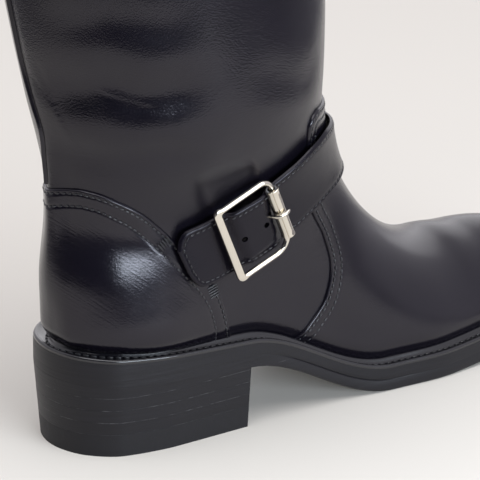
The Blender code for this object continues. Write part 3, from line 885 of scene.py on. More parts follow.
class Bench:
    """Adds shader nodes to one tree and joins them."""

    def __init__(self, tree: bpy.types.NodeTree) -> None:
        """Keeps the tree that nodes are added to."""
        self.tree = tree

    def fill(self, node: bpy.types.Node, sockets: dict) -> None:
        """Sets the inputs of a node.

        Args:
            node: The node.
            sockets: Values by socket name or number; an output socket is linked.
        """
        for name, value in sockets.items():
            if isinstance(value, Socket):
                self.tree.links.new(value, node.inputs[name])
            else:
                node.inputs[name].default_value = value

    def add(self, kind: str, sockets: dict | None = None, **settings: object) -> bpy.types.Node:
        """Adds a node.

        Args:
            kind: The node's type without its ShaderNode prefix.
            sockets: Its inputs, as fill takes them.
            **settings: Properties of the node itself.

        Returns:
            The new node.
        """
        prefix = "" if kind.startswith("NodeGroup") else "ShaderNode"
        node = self.tree.nodes.new(prefix + kind)
        for name, value in settings.items():
            setattr(node, name, value)
        self.fill(node, sockets or {})
        return node

    def ramp(self, value: Socket, low: float, high: float) -> Socket:
        """Maps a value of 0 to 1 onto a range and gives the result."""
        node = self.add("MapRange", {"Value": value, "To Min": low, "To Max": high})
        return node.outputs["Result"]

    def soft_step(self, value: Socket, low: float, high: float) -> Socket:
        """Rises smoothly from 0 to 1 as a value goes from low to high, and gives the result."""
        sockets = {"Value": value, "From Min": low, "From Max": high}
        return self.add("MapRange", sockets, interpolation_type="SMOOTHSTEP").outputs["Result"]

    def combine(self, operation: str, first: object, second: object) -> Socket:
        """Joins two values by one of the Math node's operations and gives the result."""
        return self.add("Math", {0: first, 1: second}, operation=operation).outputs[0]

    def blend(self, mask: Socket, first: Colour | Socket, second: Colour) -> Socket:
        """Blends from a first colour to a second by a mask.

        Args:
            mask: 0 for the first colour, 1 for the second.
            first: The first colour, or the socket that gives it.
            second: The second colour.

        Returns:
            The blended colour.
        """
        if not isinstance(first, Socket):
            first = (*first, 1.0)
        node = self.add("Mix", {0: mask, 6: first, 7: (*second, 1.0)}, data_type="RGBA")
        return node.outputs[2]

    def raised(self, height: Socket, strength: float, depth: float) -> Socket:
        """Gives the normal of a relief, whose depth is that of a height of 1, in metres."""
        node = self.add("Bump", {"Height": height, "Strength": strength, "Distance": depth})
        return node.outputs["Normal"]


def new_material(name: str) -> tuple[Material, Bench, bpy.types.Node]:
    """Starts a material.

    Args:
        name: The material's name.

    Returns:
        The material, the bench of its tree and its main shader.
    """
    material = bpy.data.materials.new(name)
    material.use_nodes = True
    return material, Bench(material.node_tree), material.node_tree.nodes["Principled BSDF"]


def scaled(colour: Colour, share: float) -> Colour:
    """Gives a colour made darker or lighter by a share."""
    return tuple(share * value for value in colour)


def leather_grain_group() -> bpy.types.NodeTree:
    """Makes the shared node group of calf leather: pores, unevenness, brushed streaks and patchy polish.

    Returns:
        The group, with outputs for height and polish.
    """
    brush_turn = math.radians(40.0)
    brush_size = (0.013, 0.013, 0.0007)
    group = bpy.data.node_groups.new("leather_grain", "ShaderNodeTree")
    for name in ("Pores", "Streaks"):
        group.interface.new_socket(name, in_out="INPUT", socket_type="NodeSocketFloat")
    for name in ("Height", "Polish"):
        group.interface.new_socket(name, in_out="OUTPUT", socket_type="NodeSocketFloat")
    bench = Bench(group)
    entry = bench.add("NodeGroupInput")
    leave = bench.add("NodeGroupOutput")
    place = bench.add("TexCoord").outputs["Object"]
    pores = bench.add("TexVoronoi", {"Vector": place, "Scale": 1250.0})
    fibres = bench.add("TexNoise", {"Vector": place, "Scale": 1500.0, "Detail": 2.0})
    waves = bench.add("TexNoise", {"Vector": place, "Scale": 38.0, "Detail": 3.0, "Roughness": 0.5})
    brush_place = {"Vector": place, "Rotation": (0.0, brush_turn, 0.0), "Scale": brush_size}
    brushed = bench.add("Mapping", brush_place, vector_type="TEXTURE")
    streaks = bench.add("TexNoise", {"Vector": brushed.outputs[0], "Scale": 1.0, "Detail": 3.0})
    fine = bench.combine("ADD", pores.outputs["Distance"], fibres.outputs["Fac"])
    grain = bench.combine("MULTIPLY", fine, entry.outputs["Pores"])
    brush = bench.combine("MULTIPLY", streaks.outputs["Fac"], entry.outputs["Streaks"])
    total = bench.combine("ADD", bench.combine("ADD", grain, brush), waves.outputs["Fac"])
    patches = bench.add("TexNoise", {"Vector": place, "Scale": 30.0, "Detail": 4.0, "Roughness": 0.6})
    group.links.new(total, leave.inputs["Height"])
    group.links.new(patches.outputs["Fac"], leave.inputs["Polish"])
    return group


@dataclass(frozen=True)
class LeatherFinish:
    """Polished calf leather."""

    name: str
    colour: Colour
    roughness: tuple[float, float]
    gloss: float
    coat: float
    coat_roughness: float
    pores: float
    streaks: float
    relief: float
    gloss_tint: Colour = (0.97, 0.93, 1.0)
    dark_share: float = 0.75
    relief_depth: float = 0.001

    def material(self, grain: bpy.types.NodeTree) -> Material:
        """Makes the material.

        Args:
            grain: The shared group of leather grain.

        Returns:
            The new material.
        """
        material, bench, shader = new_material(self.name)
        node = bench.add("Group", {"Pores": self.pores, "Streaks": self.streaks}, node_tree=grain)
        polish = node.outputs["Polish"]
        bench.fill(shader, {
            "Base Color": bench.blend(polish, scaled(self.colour, self.dark_share), self.colour),
            "Roughness": bench.ramp(polish, *self.roughness),
            "Specular IOR Level": self.gloss,
            "Specular Tint": (*self.gloss_tint, 1.0),
            "Coat Weight": self.coat,
            "Coat Roughness": self.coat_roughness,
            "Normal": bench.raised(node.outputs["Height"], self.relief, self.relief_depth),
        })
        return material


@dataclass(frozen=True)
class EdgeFinish:
    """Painted edge of stacked leather: fine lines along its layers, broken painted glints between them."""

    name: str
    colour: Colour
    roughness: tuple[float, float]
    gloss: float
    coat: float
    line_scale: float
    relief: float
    # Pale lines at the layer boundaries: painted glints where each layer's edge would catch the light
    layer_start: float = 9.8
    layer_step: float = 5.6
    layer_end: float = 26.6
    layer_front: float = 60.0
    glint_width: float = 0.3
    glint_colour: Colour = (0.07, 0.068, 0.072)
    line_spread: float = 22.0
    glint_break_range: tuple[float, float] = (0.47, 0.66)
    coat_roughness: float = 0.25
    dark_share: float = 0.55
    light_share: float = 1.4
    line_height: float = 0.6
    grit_height: float = 0.12
    relief_depth: float = 0.001

    def layer_glint_lines(self, bench: Bench, place: Socket) -> Socket:
        """Adds the mask of the painted glints between the heel's layers, broken off here and there.

        Args:
            bench: The material's bench.
            place: The coordinates.

        Returns:
            The mask.
        """
        axes = bench.add("SeparateXYZ", {"Vector": place})
        height = axes.outputs["Z"]
        heel = bench.combine("LESS_THAN", axes.outputs["X"], self.layer_front * MM)
        above = bench.combine("SUBTRACT", height, self.layer_start * MM)
        away = bench.combine("PINGPONG", above, self.layer_step * MM / 2)
        line = bench.combine("LESS_THAN", away, self.glint_width * MM / 2)
        top = bench.combine("LESS_THAN", height, (self.layer_end + self.glint_width) * MM)
        # Noise that breaks the painted glint lines into dashes
        glint_breaks = bench.add("TexNoise", {"Vector": place, "Scale": 170.0, "Detail": 5.0, "Roughness": 0.7})
        low, high = self.glint_break_range
        left = bench.add("MapRange", {"Value": glint_breaks.outputs["Fac"], "From Min": low, "From Max": high})
        shown = bench.combine("MULTIPLY", line, bench.combine("MULTIPLY", heel, top))
        return bench.combine("MULTIPLY", shown, left.outputs["Result"])

    def material(self) -> Material:
        """Makes the material.

        Returns:
            The new material.
        """
        material, bench, shader = new_material(self.name)
        place = bench.add("TexCoord").outputs["Object"]
        stretch = (self.line_spread, self.line_spread, self.line_scale)
        flat = bench.add("Mapping", {"Vector": place, "Scale": stretch}).outputs[0]
        noise = bench.add("TexNoise", {"Vector": flat, "Scale": 1.0, "Detail": 4.0, "Roughness": 0.65})
        grit = bench.add("TexNoise", {"Vector": place, "Scale": 700.0, "Detail": 2.0})
        lines = noise.outputs["Fac"]
        light = scaled(self.colour, self.light_share)
        tint = bench.blend(lines, scaled(self.colour, self.dark_share), light)
        line_height = bench.ramp(lines, 0.0, self.line_height)
        grit_height = bench.ramp(grit.outputs["Fac"], 0.0, self.grit_height)
        height = bench.combine("ADD", line_height, grit_height)
        bench.fill(shader, {
            # Pale painted glints along the boundaries between layers
            "Base Color": bench.blend(self.layer_glint_lines(bench, place), tint, self.glint_colour),
            "Roughness": bench.ramp(lines, *self.roughness),
            "Specular IOR Level": self.gloss,
            "Coat Weight": self.coat,
            "Coat Roughness": self.coat_roughness,
            "Normal": bench.raised(height, self.relief, self.relief_depth),
        })
        return material


@dataclass(frozen=True)
class PlainFinish:
    """A simple finish with a mottled surface: rubber, thread, lining or floor."""

    name: str
    colour: Colour
    roughness: tuple[float, float]
    mottle_scale: float
    mottle: float
    relief: float
    gloss: float
    glow: float
    relief_depth: float = 0.0005

    def material(self) -> Material:
        """Makes the material.

        Returns:
            The new material.
        """
        material, bench, shader = new_material(self.name)
        place = bench.add("TexCoord").outputs["Object"]
        noise = bench.add("TexNoise", {"Vector": place, "Scale": self.mottle_scale, "Detail": 4.0})
        mottle = noise.outputs["Fac"]
        dark = scaled(self.colour, 1 - self.mottle)
        light = scaled(self.colour, 1 + self.mottle)
        bench.fill(shader, {
            "Base Color": bench.blend(mottle, dark, light),
            "Roughness": bench.ramp(mottle, *self.roughness),
            "Specular IOR Level": self.gloss,
            "Emission Color": (*self.colour, 1.0),
            "Emission Strength": self.glow,
            "Normal": bench.raised(mottle, self.relief, self.relief_depth),
        })
        return material


@dataclass(frozen=True)
class PlatedFinish:
    """Polished pale gold plating with faint haze."""

    name: str
    colour: Colour
    roughness: tuple[float, float]
    relief: float = 0.04
    relief_depth: float = 0.0005

    def material(self) -> Material:
        """Makes the material.

        Returns:
            The new material.
        """
        material, bench, shader = new_material(self.name)
        place = bench.add("TexCoord").outputs["Object"]
        haze = bench.add("TexNoise", {"Vector": place, "Scale": 240.0, "Detail": 3.0}).outputs["Fac"]
        bench.fill(shader, {
            "Base Color": (*self.colour, 1.0),
            "Metallic": 1.0,
            "Roughness": bench.ramp(haze, *self.roughness),
            "Normal": bench.raised(haze, self.relief, self.relief_depth),
        })
        return material


@dataclass(frozen=True)
class Finishes:
    """The boot's materials."""

    shaft_leather: Material
    vamp_leather: Material
    counter_leather: Material
    strap_leather: Material
    sole_edge_paint: Material
    welt_paint: Material
    top_lift_rubber: Material
    lining_leather: Material
    black_thread: Material
    pale_gold_plating: Material
    pale_floor: Material

    @classmethod
    def mix_all(cls) -> "Finishes":
        """Makes every material once.

        Returns:
            The set of materials.
        """
        grain = leather_grain_group()
        black = (0.0050, 0.0042, 0.0076)
        edge_black = (0.0075, 0.0070, 0.0095)
        satin = (0.17, 0.31)
        polished = (0.15, 0.27)
        # Leathers: roughness, gloss, coat, coat roughness, pores, streaks, relief
        leather_table = {
            "shaft_leather": (satin, 0.4, 0.05, 0.2, 0.18, 0.0, 0.3),
            "vamp_leather": (satin, 0.4, 0.1, 0.16, 0.1, 0.05, 0.16),
            "counter_leather": (polished, 0.4, 0.1, 0.16, 0.08, 0.2, 0.3),
            "strap_leather": (satin, 0.24, 0.0, 0.14, 0.14, 0.0, 0.3),
        }
        # Painted edges: roughness, gloss, coat, line scale, relief
        edge_table = {
            "sole_edge_paint": ((0.34, 0.52), 0.3, 0.02, 900.0, 0.22),
            "welt_paint": ((0.14, 0.26), 0.5, 0.4, 60.0, 0.1),
        }
        # Plain finishes: colour, roughness, mottle scale, mottle, relief, gloss, glow
        plain_table = {
            "top_lift_rubber": ((0.007, 0.0066, 0.0088), (0.45, 0.62), 500.0, 0.25, 0.15, 0.32, 0.0),
            "lining_leather": ((0.40, 0.29, 0.19), (0.55, 0.7), 320.0, 0.12, 0.2, 0.5, 0.0),
            "black_thread": ((0.009, 0.009, 0.012), (0.22, 0.36), 2600.0, 0.3, 0.3, 0.7, 0.0),
            "pale_floor": ((0.595, 0.57, 0.53), (0.8, 0.9), 3.0, 0.004, 0.0, 0.5, 0.1),
        }
        made = {}
        for name, row in leather_table.items():
            made[name] = LeatherFinish(name, black, *row).material(grain)
        for name, row in edge_table.items():
            made[name] = EdgeFinish(name, edge_black, *row).material()
        for name, row in plain_table.items():
            made[name] = PlainFinish(name, *row).material()
        plating = PlatedFinish("pale_gold_plating", (0.70, 0.655, 0.575), (0.1, 0.2))
        made[plating.name] = plating.material()
        return cls(**made)


def finish_piece(piece: Piece, material: Material, slot: str, *nodes: str) -> None:
    """Dresses a piece, hangs it on the boot and hides the solids that it stands for.

    Args:
        piece: The finished mesh.
        material: Its material.
        slot: The record's material slot that it belongs to; not used.
        *nodes: The solids that it replaces.
    """
    if not piece.data.materials:
        piece.data.materials.append(material)
    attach(piece, "root")
    if nodes:
        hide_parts(*nodes)
    LOG.info("%s: %d faces", piece.name, len(piece.data.polygons))


# Pieces


@dataclass
class Upper:
    """The tall upper with its lining and the raised seam up its back."""

    face: LeatherFace
    wall: float = 2.2
    columns: int = 256
    foot_rows: int = 100
    shaft_rows: int = 180
    lining_rows: int = 44
    foot_top_level: float = 13.0
    lining_foot_level: float = 0.4
    rim_turns: int = 6
    rim_round: float = 0.3
    seam_width: float = 4.2
    seam_height: float = 1.5
    seam_round: float = 0.45
    seam_sink: float = 0.15
    seam_wall: float = 0.8
    seam_start_level: float = 12.6
    seam_end_gap: float = 0.02
    seam_rows: int = 150
    seam_columns: int = 13
    # How far the seam leans to the inner side: level, degrees round from the middle of the back
    seam_lean: Table = (
        (12.0, 7.0),
        (14.0, 5.0),
        (15.6, 2.0),
        (16.8, 5.5),
        (18.0, 9.0),
        (23.0, 9.0),
    )

    def build(self) -> Piece:
        """Models the upper as one closed piece, outside, rim and lining.

        Returns:
            The upper, with the lining's faces in its second material slot.
        """
        form = self.face.form
        angles = np.linspace(0.0, 2 * math.pi, self.columns + 1)
        foot = np.linspace(0.0, self.foot_top_level, self.foot_rows, endpoint=False)
        shaft = np.linspace(self.foot_top_level, form.top_level, self.shaft_rows)
        outside = np.concatenate([foot, shaft])
        inside = np.linspace(form.top_level, self.lining_foot_level, self.lining_rows)
        angle, level = np.meshgrid(angles, outside)
        outer = self.face.place(angle, level, 0.0)
        angle, level = np.meshgrid(angles, inside)
        inner = self.face.place(angle, level, -self.wall)
        middle = (outer[-1] + inner[0]) / 2
        drop = self.rim_round * self.wall
        rim = []
        for turn in np.linspace(0.0, math.pi, self.rim_turns + 2)[1:-1]:
            ring = middle + (outer[-1] - middle) * math.cos(turn)
            ring[:, 2] += drop * math.sin(turn) - drop
            rim.append(ring)
        outer[-1, :, 2] -= drop
        inner[0, :, 2] -= drop
        grid = np.concatenate([outer, np.stack(rim), inner, outer[:1]])
        obj = grid_piece("upper_leather", grid)
        first_lining_row = len(outer) + len(rim)
        column_count = grid.shape[1] - 1
        for polygon in obj.data.polygons:
            row = polygon.index // column_count
            polygon.material_index = 1 if row >= first_lining_row else 0
        close_seams(obj)
        smooth_shading(obj)
        return obj

    def build_seam(self) -> Piece:
        """Models the raised seam from the counter to the collar.

        Returns:
            The seam.
        """
        form = self.face.form
        levels = np.linspace(self.seam_start_level, form.top_level - self.seam_end_gap, self.seam_rows)
        across = np.linspace(-1.0, 1.0, self.seam_columns)
        middle = math.pi + np.radians(smooth_curve(self.seam_lean, 1, levels))
        z = form.point(np.full_like(levels, math.pi), levels)[:, 2]
        spread = 0.5 * self.seam_width / smooth_curve(form.shaft_width, 1, z)
        angle = middle[:, None] + spread[:, None] * across
        level = np.repeat(levels[:, None], len(across), axis=1)
        height = self.seam_height * bump(across, self.seam_round) - self.seam_sink
        points = self.face.place(angle, level, np.broadcast_to(height, angle.shape))
        obj = grid_piece("back_seam_bead", points)
        thicken(obj, self.seam_wall, form.normal(angle, level))
        smooth_shading(obj)
        return obj

    def dress(self, finishes: Finishes) -> None:
        """Builds the upper and its seam and finishes them.

        Args:
            finishes: The boot's materials.
        """
        upper = self.build()
        upper.data.materials.append(finishes.shaft_leather)
        upper.data.materials.append(finishes.lining_leather)
        finish_piece(upper, finishes.shaft_leather, "boot_leather", "upper")
        finish_piece(self.build_seam(), finishes.vamp_leather, "boot_leather", "back_seam")


@dataclass(frozen=True)
class SeamRow:
    """A row of stitches that follows an edge."""

    inset: float
    pitch: float = 2.7
    length: float = 2.0
    radius: float = 0.42


def offset_row(form: BootForm, edge: Array, inset: float) -> Array:
    """Gives the line that follows an edge over the boot's face at a distance inside it.

    Args:
        form: The boot's form.
        edge: Rows of angle and level along the edge, with the inside on its left seen from outside.
        inset: The distance.

    Returns:
        Rows of angle and level.
    """
    points = form.point(edge[:, 0], edge[:, 1])
    normal = form.normal(edge[:, 0], edge[:, 1])
    tangent = np.gradient(points, axis=0)
    inward = unit(np.cross(normal, tangent))
    angle, level = form.slide(edge[:, 0], edge[:, 1], points + inward * inset)
    return np.stack([angle, level], axis=-1)


@dataclass
class Stitcher:
    """Sews rows of stitches and bar tacks into one joined mesh for each piece."""

    face: LeatherFace
    flatness: float = 0.8

    def pattern(self, length: float, radius: float) -> Piece:
        """Models one stitch: a short round bar with rounded ends.

        Args:
            length: Its length.
            radius: Its radius.

        Returns:
            The stitch at the origin, lying along X.
        """
        deselect_all()
        bpy.ops.mesh.primitive_uv_sphere_add(segments=8, ring_count=6, radius=radius * MM)
        obj = bpy.context.active_object
        bpy.ops.object.mode_set(mode="EDIT")
        bpy.ops.mesh.select_all(action="SELECT")
        bpy.ops.transform.rotate(value=math.pi / 2, orient_axis="Y", center_override=(0.0, 0.0, 0.0))
        stretch = length / (2 * radius)
        bpy.ops.transform.resize(value=(stretch, 1.0, self.flatness), center_override=(0.0, 0.0, 0.0))
        bpy.ops.object.mode_set(mode="OBJECT")
        return obj

    def sew(self, name: str, rows: list[Array], heights: list[Array], row: SeamRow) -> Piece:
        """Sews stitches along lines on the boot's face.

        Args:
            name: The piece's name.
            rows: Lines as rows of angle and level.
            heights: For each line, the height of the stitches off the face at its points.
            row: The size and pitch of the stitches.

        Returns:
            All the stitches as one object.
        """
        places = []
        turns = []
        for line, height in zip(rows, heights):
            path = self.face.form.point(line[:, 0], line[:, 1])
            length = along_path(path)
            stops = even_stops(length[-1], row.pitch)
            angle = np.interp(stops, length, line[:, 0])
            level = np.interp(stops, length, line[:, 1])
            places.append(self.face.place(angle, level, np.interp(stops, length, height)))
            turns.append(axes_along(heading(path, stops), self.face.form.normal(angle, level)))
        pattern = self.pattern(row.length, row.radius)
        return joined_copies(name, pattern, np.concatenate(places), np.concatenate(turns))


@dataclass
class Panel:
    """A leather overlay folded round the front or the back of the boot.

    Its edge on the outer side is given from the sole upwards by x and z in the side view, and the inner
    side mirrors it.
    """

    name: str
    node: str
    face: LeatherFace
    middle: Middle
    edge: Table
    seams: tuple[SeamRow, ...]
    thickness: float = 1.25
    wall: float = 0.9
    edge_round: float = 1.1
    edge_sink: float = 0.3
    edge_sink_width: float = 0.1
    edge_share: float = 0.3
    seam_press: float = 0.28
    seam_press_width: float = 0.7
    stitch_sink: float = 0.1
    # How far the edge lies lower on the inner side, in levels, and where it starts to
    inner_drop: float = 0.0
    drop_start_deg: float = 150.0
    drop_turn_deg: float = 60.0
    drop_level: float = 10.0
    # Bar tacks as lines in the side view: start x, start z, end x, end z
    tacks: Table = ()
    tack: SeamRow = SeamRow(inset=0.0, pitch=9.0, length=5.6, radius=0.4)
    tack_half_width: float = 2.4
    tack_bars: int = 5
    tack_lift: float = 0.25
    rows: int = 150
    middle_columns: int = 96
    edge_samples: int = 400
    row_samples: int = 241
    # Distance of the columns from each end of a row
    near_edge: tuple[float, ...] = (
        0.0, 0.1, 0.25, 0.45, 0.7, 1.0, 1.35, 1.75, 2.2, 2.8, 3.5, 4.3, 5.2, 6.1, 7.0, 7.9, 8.9, 10.2, 12.0,
    )

    def edge_places(self) -> Array:
        """Places the edge of the outer side.

        Returns:
            Rows of angle and level, evenly spaced from the sole up.
        """
        corners = np.array(self.edge)
        length = along_path(corners)
        table = [(place, *corner) for place, corner in zip(length, corners)]
        fine = np.linspace(0.0, length[-1], self.edge_samples)
        path = np.stack([smooth_curve(table, 1, fine), smooth_curve(table, 2, fine)], axis=-1)
        path = resample(path, np.linspace(0.0, along_path(path)[-1], self.rows))
        angle, level = self.face.form.locate(path[:, 0], path[:, 1])
        return np.stack([angle, np.maximum.accumulate(level)], axis=-1)

    def row_levels(self, angle: Array, level: Array) -> Array:
        """Gives the level along a row, which lies lower on the inner side of the back."""
        turn = (angle - math.radians(self.drop_start_deg)) / math.radians(self.drop_turn_deg)
        return level - self.inner_drop * ease(turn) * ease(level / self.drop_level)

    def grid(self) -> tuple[Array, Array]:
        """Lays rows from the outer edge round the middle to the inner edge.

        Returns:
            The angle and the level of each place, by row and column.
        """
        edge = self.edge_places()
        far = 2 * self.middle.value - edge[:, 0]
        share = np.linspace(0.0, 1.0, self.row_samples)
        near_edge = np.array(self.near_edge)
        angles = []
        levels = []
        for start, stop, level in zip(edge[:, 0], far, edge[:, 1]):
            angle = mix(start, stop, share)
            height = self.row_levels(angle, level)
            length = along_path(self.face.form.point(angle, height))
            ends = near_edge * min(1.0, self.edge_share * length[-1] / near_edge[-1])
            stops = edge_spaced(ends, length[-1], self.middle_columns)
            angles.append(np.interp(stops, length, angle))
            levels.append(np.interp(stops, length, height))
        return np.array(angles), np.array(levels)

    def outline(self, angle: Array, level: Array) -> Array:
        """Gives the panel's free edge from the outer sole over the top to the inner sole.

        Args:
            angle: The grid's angles.
            level: The grid's levels.

        Returns:
            Rows of angle and level.
        """
        outer = np.stack([angle[:, 0], level[:, 0]], axis=-1)
        top = np.stack([angle[-1], level[-1]], axis=-1)
        inner = np.stack([angle[::-1, -1], level[::-1, -1]], axis=-1)
        return np.concatenate([outer, top[1:-1], inner])

    def edge_height(self, distance: Array) -> Array:
        """Gives the panel's height over the face at a distance from its edge.

        Args:
            distance: Distances from the free edge.

        Returns:
            Heights, rounded off at the edge and pressed in along the stitches.
        """
        share = np.clip(distance / self.edge_round, 0.0, 1.0)
        height = self.thickness * np.sqrt(1 - (1 - share) ** 2)
        height = height - self.edge_sink * bump(distance, self.edge_sink_width)
        for seam in self.seams:
            height = height - self.seam_press * bump(distance - seam.inset, self.seam_press_width)
        return height

    def tack_lines(self) -> tuple[list[Array], list[Array]]:
        """Lays out the bar tacks, a few close bars for each.

        Returns:
            The lines of the bars as rows of angle and level, and the heights of their points.
        """
        form = self.face.form
        lines = []
        heights = []
        for x0, z0, x1, z1 in self.tacks:
            run = np.array([x1 - x0, z1 - z0])
            step = np.array([-run[1], run[0]]) / np.linalg.norm(run)
            for shift in np.linspace(-self.tack_half_width, self.tack_half_width, self.tack_bars):
                ends = np.array([(x0, z0), (x1, z1)]) + step * shift
                angle, level = form.locate(ends[:, 0], ends[:, 1])
                lines.append(np.stack([angle, level], axis=-1))
                heights.append(np.full(2, self.thickness + self.tack_lift))
        return lines, heights

    def dress(self, finishes: Finishes) -> None:
        """Builds the panel and its stitches and finishes them.

        Args:
            finishes: The boot's materials.
        """
        form = self.face.form
        angle, level = self.grid()
        outline = self.outline(angle, level)
        height = self.edge_height(form.edge_distance(angle, level, outline))
        obj = grid_piece(self.name, self.face.place(angle, level, height))
        thicken(obj, self.wall, form.normal(angle, level))
        smooth_shading(obj)
        at_back = self.middle is Middle.BACK
        material = finishes.counter_leather if at_back else finishes.vamp_leather
        finish_piece(obj, material, "boot_leather", self.node)
        inward = 1.0 if at_back else -1.0
        stitcher = Stitcher(self.face)
        for number, seam in enumerate(self.seams):
            line = offset_row(form, outline, inward * seam.inset)
            heights = np.full(len(line), self.thickness - self.stitch_sink)
            stitches = stitcher.sew(f"{self.name}_stitches_{number + 1}", [line], [heights], seam)
            finish_piece(stitches, finishes.black_thread, "boot_leather")
        if self.tacks:
            tacks = stitcher.sew(f"{self.name}_tacks", *self.tack_lines(), self.tack)
            finish_piece(tacks, finishes.black_thread, "boot_leather")


@dataclass(frozen=True)
class BuckleSeat:
    """Place and directions of the buckle: along the strap, across it and out of it."""

    centre: Point = (35.2, -41.4, 92.6)
    along: Point = (0.904, -0.086, 0.421)
    across: Point = (-0.43, -0.08, 0.886)

    def axes(self) -> Array:
        """Squares the three directions to each other.

        Returns:
            The directions along, across and out as rows.
        """
        along = Vector(self.along).normalized()
        across = Vector(self.across)
        across = (across - along * across.dot(along)).normalized()
        out = across.cross(along).normalized()
        if out.y > 0:
            out = -out
        return np.array([along, across, out])

    def place(self, local: Array) -> Array:
        """Gives points of the boot for points along, across and out of the buckle."""
        return np.array(self.centre) + np.asarray(local, float) @ self.axes()


@dataclass
class Strap:
    """The strap over the instep, from its tip to its end on the inner side."""

    face: LeatherFace
    seat: BuckleSeat
    thickness: float = 2.6
    edge_round: float = 1.5
    stations: int = 190
    tip_stations: int = 30
    tip_end: float = 2.0
    tip_power: float = 1.6
    inner_end: float = 2.6
    anchors: int = 7
    bulge: float = 2.6
    bulge_centre: float = 1.8
    bulge_reach: float = 11.5
    bulge_flatness: float = 2.1
    seam_press: float = 0.22
    seam_press_width: float = 0.7
    stitch_sink: float = 0.08
    hole_radius: float = 1.3
    hole_depth: float = 16.0
    hole_sink: float = 4.0
    # Holes in the buckle's frame: along, across
    holes: Table = (
        (-4.8, -3.0),
        (6.3, -3.2),
        (9.0, 0.6),
    )
    seam: SeamRow = SeamRow(inset=2.3, pitch=2.6, length=1.9, radius=0.34)
    # From the tip to the middle of the instep: lower x, lower z, upper x, upper z, height off the upper
    edges: Table = (
        (7.4, 76.8, 3.0, 87.0, 2.6),
        (11.2, 71.8, 4.2, 92.2, 2.6),
        (15.0, 70.0, 6.5, 95.0, 2.6),
        (24.0, 71.5, 16.0, 98.6, 2.7),
        (32.5, 74.3, 25.5, 102.8, 2.9),
        (46.0, 79.8, 39.5, 109.4, 2.7),
        (59.0, 85.5, 53.0, 116.4, 2.3),
        (71.8, 91.2, 66.0, 122.5, 2.1),
        (83.9, 95.5, 77.0, 125.0, 2.0),
        (94.0, 97.5, 86.0, 124.2, 2.0),
        (103.0, 98.5, 92.9, 121.7, 2.0),
    )
    # Place of the columns over the strap's width, from its lower edge
    near_edge: tuple[float, ...] = (0.0, 0.004, 0.011, 0.021, 0.034, 0.05, 0.068, 0.088, 0.11, 0.14, 0.18)
    middle_columns: int = 22

    def grid(self) -> tuple[Array, Array, Array]:
        """Lays rows across the strap from its tip round the instep to its inner end.

        Returns:
            The angle, the level and the height of each place, by row and column.
        """
        share = edge_spaced(np.array(self.near_edge), 1.0, self.middle_columns)
        table = np.array(self.edges)
        ridge = len(self.edges) - 1.0
        anchors = np.linspace(0.0, 1.0, self.anchors)
        x = mix(table[:, :1], table[:, 2:3], anchors)
        z = mix(table[:, 1:2], table[:, 3:4], anchors)
        angles, levels = self.face.form.locate(x, z)
        angles[-1] = 0.0
        tip = self.tip_end * np.linspace(0.0, 1.0, self.tip_stations, endpoint=False) ** self.tip_power
        outer = np.concatenate([tip, np.linspace(self.tip_end, ridge, self.stations // 2)])
        inner = np.linspace(ridge, self.inner_end, self.stations // 2)[1:]
        stations = np.concatenate([outer, inner])
        side = np.concatenate([np.ones(len(outer)), -np.ones(len(inner))])
        angle_at = np.stack([side * smooth_curve(list(enumerate(a)), 1, stations) for a in angles.T], axis=1)
        level_at = np.stack([smooth_curve(list(enumerate(a)), 1, stations) for a in levels.T], axis=1)
        angle = np.stack([smooth_curve(list(zip(anchors, row)), 1, share) for row in angle_at])
        level = np.stack([smooth_curve(list(zip(anchors, row)), 1, share) for row in level_at])
        lift = smooth_curve(list(enumerate(table[:, 4])), 1, stations)
        height = np.repeat(lift[:, None], len(share), axis=1)
        offset = self.face.form.point(angle, level) - np.array(self.seat.centre)
        along = offset @ self.seat.axes()[0]
        from_middle = np.abs(along - self.bulge_centre) / self.bulge_reach
        bulge = self.bulge * ease(self.bulge_flatness * (1 - from_middle)) * (side > 0)[:, None]
        return angle, level, height + bulge

    def punch(self, obj: Piece) -> None:
        """Cuts the holes through the strap with round cutters.

        Args:
            obj: The strap.
        """
        turn = Matrix(self.seat.axes().tolist()).transposed().to_4x4()
        depth = self.hole_depth * MM
        for number, (along, across) in enumerate(self.holes):
            deselect_all()
            bpy.ops.mesh.primitive_cylinder_add(vertices=32, radius=self.hole_radius * MM, depth=depth)
            cutter = bpy.context.active_object
            middle = Vector(self.seat.place((along, across, -self.hole_sink)) * MM)
            cutter.data.transform(Matrix.Translation(middle) @ turn)
            modifier = obj.modifiers.new(f"Hole_{number + 1}", "BOOLEAN")
            modifier.operation = "DIFFERENCE"
            modifier.solver = "EXACT"
            modifier.object = cutter
            apply_modifiers(obj)
            bpy.data.objects.remove(cutter)

    def dress(self, finishes: Finishes) -> None:
        """Builds the strap and its stitches and finishes them.

        Args:
            finishes: The boot's materials.
        """
        form = self.face.form
        angle, level, base = self.grid()
        rim = np.stack([angle, level, base], axis=-1)
        sewn = np.concatenate([rim[::-1, 0], rim[0, 1:-1], rim[:, -1]])
        outline = np.concatenate([sewn, rim[-1, -2::-1]])
        distance = form.edge_distance(angle, level, outline)
        share = np.clip(distance / self.edge_round, 0.0, 1.0)
        wall = self.thickness - self.edge_round
        height = base + wall + self.edge_round * np.sqrt(1 - (1 - share) ** 2)
        height = height - self.seam_press * bump(distance - self.seam.inset, self.seam_press_width)
        obj = grid_piece("instep_strap", self.face.place(angle, level, height))
        thicken(obj, wall, form.normal(angle, level))
        self.punch(obj)
        smooth_shading(obj, angle_deg=50.0)
        finish_piece(obj, finishes.strap_leather, "boot_leather", "strap")
        line = offset_row(form, sewn, -self.seam.inset)
        heights = sewn[:, 2] + self.thickness - self.stitch_sink
        stitches = Stitcher(self.face).sew("strap_stitches", [line], [heights], self.seam)
        finish_piece(stitches, finishes.black_thread, "boot_leather")


